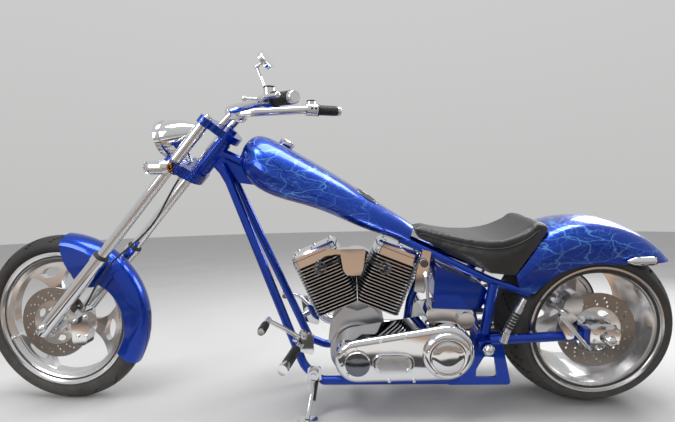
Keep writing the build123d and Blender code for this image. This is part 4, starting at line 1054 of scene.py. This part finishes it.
# %% Hub cap and the valves of both wheels
HUB_RINGS = [
    (0.0335, 0.0), (0.0335, 0.003), (0.031, 0.005), (0.022, 0.0055), (0.0195, 0.0075),
    (0.0165, 0.0078), (0.0165, 0.004),
]
hub = [FRONT_WHEEL @ sideways(0, 0.0398, 0, out=1)]
turned_copies("front_hub_cap", 32, HUB_RINGS, hub, chrome, "front_wheel", smooth=35)

STEM_RINGS = [
    (0.0055, -0.003), (0.0055, 0.006), (0.0038, 0.008), (0.0038, 0.026), (0.0046, 0.027),
    (0.0046, 0.034), (0.0030, 0.036),
]
VALVE_TURN, RAY_FROM, RAY_TO = math.radians(200), 0.16, 0.30
for end, wheel, y in (("front", FRONT_WHEEL, -0.022), ("rear", REAR_WHEEL, -0.060)):
    start, toward = (
        wheel @ Vector((reach * math.cos(VALVE_TURN), y, reach * math.sin(VALVE_TURN)))
        for reach in (RAY_FROM, RAY_TO)
    )
    stem = [land(end + "_rim", start, toward)]
    turned_copies(end + "_wheel_valve", 14, STEM_RINGS, stem, chrome, end + "_wheel")

# %% Axle nuts with notches round them
NUT_SIDES = 32
NUT_RINGS = [(0.0235, 0.0), (0.0235, 0.0025), (0.0195, 0.003), (0.0195, 0.010)]
NUT_RINGS += domed(0.0185, 0.010, 0.011, (0.25, 0.6, 0.95, 1.25, 1.45))


def notched(middle, normal):
    step = int(math.atan2(middle.y, middle.x) * NUT_SIDES / math.tau)
    return abs(normal.z) < 0.3 and 0.004 < middle.z < 0.009 and step % 5 == 0


def at_scale(places, scale):
    return [place @ Matrix.Scale(scale, 4) for place in places]


axle_nut = turned("axle_nut", NUT_SIDES, NUT_RINGS)
edit(axle_nut)
pick(axle_nut, notched)
inset(0.0004, -0.0008)
close_edit(axle_nut)
PIVOT = (1.690, 0.288)
AXLE_SCALE, PIVOT_SCALE, FORK_SCALE = 0.86, 0.9, 0.8
axle_ends = [
    BIKE @ sideways(WHEELBASE, -0.2155, REAR_RADIUS),
    BIKE @ sideways(WHEELBASE, 0.2395, REAR_RADIUS, out=1),
]
pivot_ends = flank(LEFT, BIKE, "swingarm", PIVOT) + flank(RIGHT, BIKE, "swingarm", PIVOT)
nuts = at_scale(axle_ends, AXLE_SCALE) + at_scale(pivot_ends, PIVOT_SCALE)
place_copies("chassis_axle_nuts", axle_nut, nuts, chrome, "chassis")
fork_ends = [place for side in (LEFT, RIGHT) for place in flank(side, FORK, "fork_sliders", (0, 0))]
place_copies("front_axle_nuts", axle_nut, at_scale(fork_ends, FORK_SCALE), chrome, "steering")
put_away(axle_nut)
print("axle nuts:", len(nuts) + len(fork_ends))

# %% Caliper bolts
rear_screws = flank(LEFT, BIKE, "rear_caliper", (1.953, 0.418), (1.975, 0.345), (2.037, 0.297))
rear_screws += flank(
    LEFT, BIKE, "axle_boxes", (2.066, 0.345), (2.066, 0.318), (2.142, 0.350), (2.142, 0.312)
)
front_screws = flank(
    LEFT, STEERED, "front_caliper",
    (0.080, 0.384), (0.110, 0.366), (0.112, 0.300), (0.146, 0.300), (0.146, 0.380),
)
place_copies("rear_caliper_bolts", cap_screw, rear_screws, chrome, "chassis")
place_copies("front_caliper_bolts", cap_screw, front_screws, chrome, "steering")
print("caliper bolts:", len(rear_screws) + len(front_screws))

# %% [markdown]
# ## Fork and handlebar fittings
# Rubber wipers close the tops of the sliders, pinch bolts hold both clamps, ribbed rubber
# covers the grips, and small screws hold the lids of the two reservoirs.

# %% Wipers, pinch bolts and fork caps
LEG_Y, WIPER_AT, CAP_AT = 0.110, 0.370, 1.0518
WIPER_RINGS = [
    (0.0300, -0.004), (0.0300, 0.002), (0.0275, 0.006), (0.0240, 0.008), (0.0212, 0.0125),
    (0.0206, 0.0126),
]
CAP_RINGS = [
    (0.0195, 0.0), (0.0195, 0.003), (0.0165, 0.0045), (0.0165, 0.0085), (0.0150, 0.0100),
    (0.0085, 0.0100), (0.0080, 0.0070),
]


def on_legs(height):
    return [FORK @ Matrix.Translation((0, side * LEG_Y, height)) for side in (-1, 1)]


turned_copies(
    "fork_wipers", 36, WIPER_RINGS, on_legs(WIPER_AT), black_rubber, "steering", smooth=35
)
pinch = []
for name, height in (("lower_clamp", 0.818), ("lower_clamp", 0.842), ("top_clamp", 1.036)):
    pinch += flank(LEFT, FORK, name, (0.0, height)) + flank(RIGHT, FORK, name, (0.0, height))
place_copies("clamp_pinch_bolts", cap_screw, pinch, chrome, "steering")
turned_copies("fork_caps", 30, CAP_RINGS, on_legs(CAP_AT), chrome, "steering")
print("pinch bolts:", len(pinch))

# %% Where the grips are, and their ribs and caps
bar_turn = Matrix.Rotation(math.radians(-9), 4, Vector((-0.55, 0, 1)))
bar_middle = straight_fork @ Vector((0.035, 0, 1.118))
GRIP, RIBS, RIB_FROM, RIB_STEP = 0.092, 11, 0.078, 0.0068


def grip_end(side):
    """Tip of one grip and the direction along it, in the axes of the machine steered ahead."""
    bend = bar_middle + (bar_turn @ Vector((0.218, side * 0.206, 0.022)))
    tip = bar_middle + (bar_turn @ Vector((0.332, side * 0.290, 0.016)))
    return tip, (tip - bend).normalized()


RIB_RINGS = [
    (0.0196, 0.0), (0.0212, 0.0008), (0.0216, 0.0022), (0.0212, 0.0036), (0.0196, 0.0044)
]
END_RINGS = [
    (0.0206, -0.001), (0.0206, 0.0125), (0.0192, 0.0148), (0.0150, 0.0153), (0.0142, 0.0142),
    (0.0060, 0.0142),
]
rib_places, end_places = [], []
for side in (-1, 1):
    tip, along = grip_end(side)
    for number in range(RIBS):
        at = tip - along * (RIB_FROM - RIB_STEP * number)
        rib_places.append(STEERED @ aim(at, at + along))
    end_places.append(STEERED @ aim(tip, tip + along))
turned_copies("grip_ribs", 32, RIB_RINGS, rib_places, rib_rubber, "steering", smooth=50)
turned_copies("grip_caps", 36, END_RINGS, end_places, chrome, "steering", smooth=35)

# %% Reservoir lids and switch buttons
LID_RINGS = [(0.0196, -0.001), (0.0196, 0.0035), (0.0180, 0.0048), (0.0040, 0.0052)]
BUTTON_RINGS = [(0.0052, -0.002), (0.0052, 0.0022), (0.0044, 0.003), (0.001, 0.0028)]
RESERVOIR_BACK, RESERVOIR_AHEAD, BUTTON_BACK, BUTTON_STEP = 0.024, 0.008, 0.014, 0.018
LID_SCREW_X, LID_SCREW_UP, LID_SCREW_SCALE = 0.009, 0.0046, 0.55
lids, lid_screws, buttons = [], [], []
for side in (-1, 1):
    tip, along = grip_end(side)
    ahead = Vector((0, 0, 1)).cross(along).normalized()
    ahead = ahead if ahead.x < 0 else -ahead
    foot = tip - along * (GRIP + RESERVOIR_BACK) + ahead * RESERVOIR_AHEAD
    top = land("hand_controls", STEERED @ (foot + Vector((0, 0, 0.2))), STEERED @ foot)
    lids.append(top)
    spots = [(x, 0, LID_SCREW_UP) for x in (-LID_SCREW_X, LID_SCREW_X)]
    lid_screws += at_scale([top @ Matrix.Translation(at) for at in spots], LID_SCREW_SCALE)
    for number in range(2):
        at = tip - along * (GRIP + BUTTON_BACK + BUTTON_STEP * number)
        back = STEERED @ (at - ahead * 0.2 + Vector((0, 0, 0.02)))
        buttons.append(land("hand_controls", back, STEERED @ at))
turned_copies("reservoir_lids", 36, LID_RINGS, lids, rib_rubber, "steering", smooth=35)
place_copies("reservoir_screws", cap_screw, lid_screws, steel, "steering")
turned_copies("switch_buttons", 18, BUTTON_RINGS, buttons, rib_rubber, "steering")

# %% [markdown]
# ## Front brake hose
# The hose is a real flexible line: it leaves the master cylinder's pipe at the lower clamp and
# hangs in a loose bow down the left leg to the caliper. It is a smooth curve through the same
# points as the frame's solid, and a crimped end closes each end.

# %% The hose and its crimped ends
HOSE_LENGTH, HOSE_WIDTH = 0.691, 0.007
HOSE_POINTS = (
    (0.034, -0.062, 0.809), (0.036, -0.062, 0.770), (0.050, -0.068, 0.700),
    (0.070, -0.082, 0.625), (0.074, -0.098, 0.545), (0.062, -0.110, 0.470),
    (0.050, -0.117, 0.400), (0.047, -0.116, 0.330), (0.052, -0.108, 0.262),
    (0.058, -0.098, 0.204), (0.061, -0.090, 0.164), (0.062, -0.086, 0.131),
)
CRIMP_RINGS = [
    (0.0040, -0.001), (0.0062, 0.0), (0.0062, 0.013), (0.0054, 0.014), (0.0054, 0.019),
    (0.0038, 0.0205),
]
hose_at = [FORK @ Vector(point) for point in HOSE_POINTS]
hose = smooth_line("front_brake_hose", hose_at, HOSE_WIDTH / 2, 4, 10)
hose.data.materials.append(rib_rubber)
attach(hose, "steering")
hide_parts("brake_hose")
hose_ends = [aim(hose_at[0], hose_at[1]), aim(hose_at[-1], hose_at[-2])]
crimps = turned_copies("hose_crimps", 18, CRIMP_RINGS, hose_ends, steel, "steering")
print("hose from", [round(v, 3) for v in hose_at[0]])

# %% [markdown]
# ## Lamps and mirror
# A lamp looks like a lamp when there is depth behind its lens. Each lens here is a thin domed
# shell of clear, amber or red glass over the chrome bowl that the frame already has.


# %% Glass in three colours
def lens_glass(name, colour, roughness):
    made, tree, shader = new_material(
        name, Base_Color=(*colour, 1), Roughness=roughness, Transmission_Weight=1.0, IOR=1.45
    )
    flutes = add(tree, "TexWave", {"Vector": where(tree), "Scale": 60}).outputs["Fac"]
    wire(tree, shader, {"Normal": bump(tree, flutes, 0.35, 0.0008)})
    return made


clear_glass = lens_glass("clear_lens", (0.95, 0.96, 0.97), 0.05)
amber_glass = lens_glass("amber_lens", (0.95, 0.30, 0.02), 0.12)
red_glass = lens_glass("red_lens", (0.70, 0.01, 0.01), 0.12)
print("glass made")

# %% Lenses and the headlight's ring
LENS_RIM, LENS_TURNS = 0.002, (0.2, 0.45, 0.7, 0.95, 1.2, 1.4, 1.5)
LAMP_RINGS = [
    (0.0712, -0.020), (0.0722, -0.016), (0.0722, -0.001), (0.0700, 0.0015), (0.0665, 0.0015),
    (0.0655, -0.001),
]
lamp_at, lamp_back = Vector((0.461, 0, 1.076)), Vector((0.985, 0, 0.174))


def lens(name, steps, radius, height, places, glass, body):
    """An upright rim and a shallow dome over it."""
    rings = [(radius, -LENS_RIM), (radius, 0.0)] + domed(radius, 0.0, height, LENS_TURNS)
    turned_copies(name, steps, rings, places, glass, body, smooth=60)


def pair(place, x, toward_x, y, z):
    return [place @ aim((x, side * y, z), (toward_x, side * y, z)) for side in (-1, 1)]


headlight = [STEERED @ aim(lamp_at, lamp_at - lamp_back)]
lens("headlight_lens", 48, 0.0655, 0.0115, headlight, clear_glass, "steering")
turned_copies("headlight_ring", 56, LAMP_RINGS, headlight, chrome, "steering", smooth=40)
for name, x, toward_x, glass in (
    ("turn_signal_front_lenses", 0.4832, 0.40, clear_glass),
    ("turn_signal_rear_lenses", 0.5752, 0.70, amber_glass),
):
    signals = pair(STEERED, x, toward_x, 0.164, 0.960)
    lens(name, 28, 0.0215, 0.006, signals, glass, "steering")
tails = pair(BIKE, 2.2742, 2.40, 0.172, 0.600)
lens("tail_lenses", 24, 0.0135, 0.005, tails, red_glass, "chassis")

# %% Mirror glass: a disc squeezed to an oval
MIRROR_RINGS = [(1.0, 0.0), (1.0, 0.0012), (0.96, 0.0018), (0.5, 0.0018)]
mirror_at, mirror_across = Vector((0.956, -0.226, 1.299)), Vector((0.2, 1, 0))
mirror_out = Vector((0.89, -0.18, 0.40)).normalized()
glass_at = land("mirror", STEERED @ (mirror_at + mirror_out * 0.1), STEERED @ mirror_at)
steered_turn = STEERED.to_3x3()
face = square_to(glass_at.translation, steered_turn @ mirror_across, steered_turn @ mirror_out)
face = face @ Matrix.Diagonal((0.0385, 0.0255, 1.0, 1.0))
turned_copies("mirror_glass_face", 48, MIRROR_RINGS, [face], mirror_silver, "steering")

# %% [markdown]
# ## Small parts of the engine
# The covers on the left are what the eye goes to first. The nose of the crank cover is dark and
# round, the long cover and the clutch cover each carry a raised plate, and an oil line in a
# steel braid comes down beside the ignition switch.

# %% Round plates on the covers
ROUND_PLATES = {  # piece: (sides, finish, place, rings)
    "crank_nose": (48, dark_chrome, (NOSE_AT[0], -0.2360, NOSE_AT[1]), [
        (0.0445, -0.001), (0.0445, 0.0012), (0.0415, 0.0022), (0.0300, 0.0036),
        (0.0150, 0.0046), (0.0020, 0.0050),
    ]),
    "clutch_cover_plate": (64, chrome, (CLUTCH_AT[0], -0.2420, CLUTCH_AT[1]), [
        (0.0790, -0.001), (0.0790, 0.0010), (0.0770, 0.0022), (0.0640, 0.0026),
        (0.0610, 0.0014), (0.0560, 0.0014), (0.0540, 0.0030), (0.0300, 0.0044),
        (0.0020, 0.0048),
    ]),
}
for name, (sides, finish, at, rings) in ROUND_PLATES.items():
    turned_copies(name, sides, rings, [BIKE @ sideways(*at)], finish, "chassis", smooth=40)

# %% Oval plate on the inspection cover: a drum whose two halves are pulled apart
OVAL_STRETCH, OFF_MIDDLE = 0.035, 1e-5
oval_plate = begin("oval_plate", "cylinder", vertices=48, radius=0.030, depth=0.004,
                   location=(0, 0, 0.001))
bpy.ops.mesh.select_mode(type="VERT")
for end in (-1, 1):
    pick_parts(oval_plate, "verts", lambda corner: corner.co.x * end > OFF_MIDDLE)
    bpy.ops.transform.translate(value=(end * OVAL_STRETCH, 0, 0))
bpy.ops.mesh.select_mode(type="FACE")
pick(oval_plate, facing_up)
inset(0.0022, 0.0012)
inset(0.0040, 0)
inset(0.0012, -0.0012)
close_edit(oval_plate)
oval_at = [BIKE @ sideways(OVAL_AT[0], -0.2320, OVAL_AT[1])]
place_copies("inspection_cover_plate", oval_plate, oval_at, brushed_cover, "chassis", smooth=40)
put_away(oval_plate)
print("inspection cover plate made")

# %% Ignition switch and braided oil line
SWITCH_RINGS = [
    (0.0150, -0.001), (0.0150, 0.0030), (0.0125, 0.0045), (0.0105, 0.0045), (0.0100, 0.0030),
    (0.0020, 0.0030),
]
switch_at = [BIKE @ sideways(1.472, -0.1240, 0.590)]
turned_copies(
    "ignition_switch_ring", 32, SWITCH_RINGS, switch_at, dark_chrome, "chassis", smooth=40
)
OIL_LINE_R = 0.0058
OIL_ROUTE = (
    (1.480, -0.108, 0.548), (1.480, -0.119, 0.530), (1.483, -0.127, 0.490),
    (1.486, -0.128, 0.450), (1.483, -0.124, 0.415), (1.480, -0.117, 0.388),
)
FITTING_RINGS = [
    (0.0066, -0.004), (0.0088, -0.003), (0.0088, 0.006), (0.0072, 0.008), (0.0072, 0.014),
    (0.0058, 0.0155),
]
dress(tube("oil_line", on_bike(*OIL_ROUTE), OIL_LINE_R, sides=5), braid, "chassis", smooth=60)
oil_ends = [BIKE @ aim(*OIL_ROUTE[:2]), BIKE @ aim(*OIL_ROUTE[:-3:-1])]
turned_copies("oil_line_fittings", 6, FITTING_RINGS, oil_ends, chrome, "chassis")

# %% [markdown]
# ## Exhaust ends and pegs
# The two exhaust pipes on the right side end in tips; a black disc in each mouth paints the
# shade and soot of the dark pipe inside. The footpegs, the toe levers and the folding pegs of
# the passenger are covered with rings of rubber.

# %% Exhaust tips
TIP_RINGS = [
    (0.0222, -0.012), (0.0236, -0.010), (0.0236, 0.000), (0.0228, 0.0012), (0.0214, 0.0008),
    (0.0208, 0.0),
]
# A flat black disc across each pipe mouth: painted shade of the pipe's dark inside, and soot.
SOOT_AND_SHADE_RINGS = [(0.0205, -0.001), (0.0205, 0.0006), (0.0120, 0.0007), (0.0010, 0.0007)]
PIPE_Y = 0.252
tips = [
    land("exhaust_pipes", *on_bike((x + 0.25, PIPE_Y, z), (x - 0.1, PIPE_Y, z)))
    for x, z in ((1.980, 0.190), (2.040, 0.256))
]
turned_copies("exhaust_tips", 40, TIP_RINGS, tips, chrome, "chassis", smooth=40)
turned_copies("exhaust_soot", 40, SOOT_AND_SHADE_RINGS, tips, black_rubber, "chassis")


# %% Rubber on the pegs and the toe levers
def along_peg(start, end, first, step, count):
    """Places in a row along a peg."""
    start, end = Vector(start), Vector(end)
    along = (end - start).normalized()
    return [BIKE @ aim(start + along * (first + step * n), end + along) for n in range(count)]


PEG_RINGS = [
    (0.0152, 0.0), (0.0180, 0.0012), (0.0184, 0.0060), (0.0180, 0.0108), (0.0152, 0.0120)
]
foot, toe, pillion = [], [], []
for side, high in ((-1, 0.402), (1, 0.360)):
    foot += along_peg((1.000, side * 0.146, 0.290), (0.968, side * 0.322, 0.290), 0.050, 0.0155, 7)
    toe += along_peg((0.892, side * 0.182, high), (0.886, side * 0.290, high), 0.046, 0.0105, 5)
for y in (-0.201, 0.225):
    pillion += along_peg((1.752, y, 0.352), (1.798, y, 0.448), 0.016, 0.0115, 6)
for name, sides, places, thinner, shorter in (
    ("foot_peg_rubbers", 28, foot, 0.0, 1.0),
    ("toe_lever_rubbers", 24, toe, 0.0032, 0.75),
    ("pillion_peg_rubbers", 24, pillion, 0.0022, 0.8),
):
    rings = [(r - thinner, z * shorter) for r, z in PEG_RINGS]
    turned_copies(name, sides, rings, places, rib_rubber, "chassis", smooth=50)

# %% [markdown]
# ## Tank trim, stand spring and belt teeth
# A plain dark oval sits on each shoulder of the tank, and the filler cap has finger grips round
# its edge. A coil spring holds the side stand out; it is one small circle swept round and up
# by a Screw modifier, which is how a coil is made without drawing its line.

# %% Ovals on the tank
TRIM_RINGS = [
    (1.0, -0.004), (1.0, 0.0016), (0.94, 0.0026), (0.80, 0.0026), (0.76, 0.0018),
    (0.40, 0.0030), (0.02, 0.0034),
]
TANK_SLOPE = math.radians(26.4)
down_tank = BIKE.to_3x3() @ Vector((math.cos(TANK_SLOPE), 0, -math.sin(TANK_SLOPE)))
oval_places = []
for side in (-1, 1):
    spot = land("fuel_tank", *on_bike((1.285, side * 0.28, 1.02), (1.262, 0, 0.80)))
    square = square_to(spot.translation, down_tank, spot.to_3x3() @ Vector((0, 0, 1)))
    oval_places.append(square @ Matrix.Diagonal((0.047, 0.0165, 1.0, 1.0)))
turned_copies("tank_ovals", 48, TRIM_RINGS, oval_places, dark_chrome, "chassis", smooth=40)

# %% Finger grips round the filler cap
KNURL_SIDES = 72
KNURL_RINGS = [(0.0295, 0.004), (0.0318, 0.0055), (0.0318, 0.0175), (0.0295, 0.0195)]
cap_at, cap_up = Vector((0.948, 0.040, 1.036)), Vector((0.42, 0.16, 0.9))


def every_third(middle, normal):
    step = int((math.atan2(middle.y, middle.x) % math.tau) * KNURL_SIDES / math.tau)
    return abs(normal.z) < 0.3 and step % 3 == 0


knurl = turned("cap_knurl", KNURL_SIDES, KNURL_RINGS)
edit(knurl)
pick(knurl, every_third)
inset(0.0003, -0.0014)
close_edit(knurl)
cap_places = [BIKE @ aim(cap_at, cap_at + cap_up)]
place_copies("filler_cap_grips", knurl, cap_places, chrome, "chassis")
put_away(knurl)
print("filler cap grips made")

# %% Stand spring
STAND_EYE = Vector((1.050, -0.1724, 0.176))
TURNS, WIRE, COIL, PITCH_OF_COIL, COIL_STEPS = 18, 0.0013, 0.0062, 0.0036, 14
stand_points = [BIKE.inverted() @ corner.co for corner in nodes["side_stand"].data.vertices]
pad = min(stand_points, key=lambda point: point.z)
leg_way = (Vector((pad.x + 0.01, pad.y, 0.012)) - STAND_EYE).normalized()
spring = begin("stand_spring", "circle", vertices=7, radius=WIRE, fill_type="NOTHING")
bpy.ops.mesh.select_all(action="SELECT")
bpy.ops.transform.rotate(value=math.radians(90), orient_axis="X", center_override=(0, 0, 0))
bpy.ops.transform.translate(value=(COIL, 0, 0))
close_edit(spring, outward=False)
modify(spring, "SCREW", axis="Z", screw_offset=PITCH_OF_COIL, iterations=TURNS,
       steps=COIL_STEPS, render_steps=COIL_STEPS)
edit(spring, "EDGE")
bpy.ops.mesh.select_non_manifold(extend=False)
bpy.ops.mesh.edge_face_add()
close_edit(spring)
BELOW_EYE, BESIDE_LEG = 0.026, Vector((0.016, -0.004, 0))
spring_from = STAND_EYE + leg_way * BELOW_EYE + BESIDE_LEG
spring.data.transform(BIKE @ aim(spring_from, spring_from + leg_way))
dress(spring, black_rubber, "side_stand", smooth=50)
print("spring turns:", TURNS, "leg direction:", [round(v, 2) for v in leg_way])

# %% Belt teeth on the inside of the belt, found by rays from the middle of its loop
BELT_Y, BELT_WIDE, BELT_FROM, BELT_REACH = 0.171, 0.0225, 1.56, 0.2
TOOTH_STEP, TOOTH_RAYS = 0.0075, 90
tooth = begin("belt_tooth", "cube", scale=(0.0052, BELT_WIDE, 0.0036), size=1,
              location=(0, 0, 0.0014))
pick(tooth, facing_up)
bpy.ops.transform.resize(value=(0.55, 1, 1))
close_edit(tooth)
belt_across = (BIKE.to_3x3() @ Vector((0, 1, 0))).normalized()
tooth_places = []
for end in (-1, 1):
    for number in range(TOOTH_RAYS):
        x = BELT_FROM + TOOTH_STEP * number
        start, toward = on_bike((x, BELT_Y, REAR_RADIUS), (x, BELT_Y, REAR_RADIUS + end))
        inward = (start - toward).normalized()
        hit, at, _, _ = nodes["belt_drive"].ray_cast(start, -inward)
        if hit and (at - start).length < BELT_REACH:
            tooth_places.append(square_to(at, belt_across.cross(inward), inward))
place_copies("belt_teeth", tooth, tooth_places, black_rubber, "chassis")
put_away(tooth, hex_bolt, cap_screw)
print("belt teeth:", len(tooth_places))

# %% [markdown]
# ## Floor and light
# A pale floor, a big soft lamp overhead and two smaller ones at the sides do what a photo studio
# does. Polished metal shows nothing but its surroundings, so a ring of dark and bronze bands
# lies on the floor around the machine. Only polished metal sees it: without something dark to
# reflect, chrome turns flat white.

# %% Floor
floor = begin("floor", "circle", vertices=64, radius=14, fill_type="NGON")
close_edit(floor, outward=False)
floor_paint, tree, shader = new_material("pale_floor", Roughness=0.6, Specular_IOR_Level=0.0)
tone = remap(tree, noise(tree, where(tree), 2.0), to_low=0.50, to_high=0.56)
wire(tree, shader, {"Base Color": tone})
floor.data.materials.append(floor_paint)
print("floor made")

# %% Shape of the banded ring that only polished metal sees
bpy.ops.mesh.primitive_circle_add(
    vertices=96, radius=1.0, fill_type="NOTHING", location=(0, 0, 0.01)
)
card = bpy.context.object
card.name = "dark_card"
edit(card, "EDGE")
bpy.ops.mesh.select_all(action="SELECT")
bpy.ops.transform.resize(value=(1.60, 0.38, 1))
bpy.ops.mesh.extrude_region_move(TRANSFORM_OT_translate={"value": (0, 0, 0.001)})
bpy.ops.transform.resize(value=(2.2, 6.3, 1), center_override=(0, 0, 0.011))
close_edit(card)
card.visible_camera = card.visible_diffuse = False
card.visible_shadow = card.visible_transmission = False
print("faces of the ring:", len(card.data.polygons))

# %% Its bands, bent a little by noise
PALE, BRONZE, DIM = (0.58, 0.56, 0.53), (0.32, 0.21, 0.14), (0.04, 0.034, 0.03)
BANDS = (
    (0.305, PALE), (0.335, PALE), (0.35, BRONZE), (0.40, DIM), (0.44, (0.36, 0.33, 0.30)),
    (0.49, DIM), (0.53, (0.30, 0.27, 0.25)), (0.59, DIM), (0.64, BRONZE), (0.84, BRONZE),
    (0.90, DIM),
)
card_paint, tree, shader = new_material("dark_card", Roughness=0.9)
place = where(tree)
away = calc(tree, "ABSOLUTE", add(tree, "SeparateXYZ", {0: place}).outputs["Y"])
wavy = calc(tree, "MULTIPLY_ADD", noise(tree, place, 2.6), 0.25, away)
first, last = (0.29, (0.030, 0.026, 0.024)), (1.0, (0.05, 0.045, 0.042))
bands = colour_bands(tree, calc(tree, "DIVIDE", wavy, 2.0), first, last, BANDS)
wire(tree, shader, {"Base Color": bands})
card.data.materials.append(card_paint)
print("bands:", len(BANDS) + 2)


# %% Lamps
def lamp(name, place, toward, size, power):
    data = bpy.data.lights.new(name, "AREA")
    data.shape = "RECTANGLE"
    data.size, data.size_y = size
    data.energy = power
    made = bpy.data.objects.new(name, data)
    bpy.context.scene.collection.objects.link(made)
    made.location = place
    made.rotation_euler = (Vector(toward) - Vector(place)).to_track_quat("-Z", "Y").to_euler()


lamp("overhead", (0.2, -0.15, 3.2), (0.1, 0.0, 0.4), (4.4, 0.9), 120)
lamp("front_left", (-2.6, -2.6, 1.9), (-0.3, 0, 0.5), (1.2, 1.6), 45)
lamp("rear_right", (2.9, 1.8, 2.2), (0.4, 0, 0.5), (1.4, 1.4), 50)
print("lamps:", [light.name for light in bpy.data.lights])

# %% Sky: a little brighter overhead
world = bpy.data.worlds.new("studio")
bpy.context.scene.world = world
world.use_nodes = True
tree = world.node_tree
direction = add(tree, "TexCoord", {}).outputs["Generated"]
height = add(tree, "SeparateXYZ", {0: direction}).outputs["Z"]
glow = colour_bands(tree, height, (0.0, (0.60, 0.60, 0.595)), (0.75, (0.72, 0.72, 0.72)))
wire(tree, tree.nodes["Background"], {"Color": glow, "Strength": 0.9})
bpy.context.scene.view_settings.view_transform = "Standard"
print("sky:", world.name)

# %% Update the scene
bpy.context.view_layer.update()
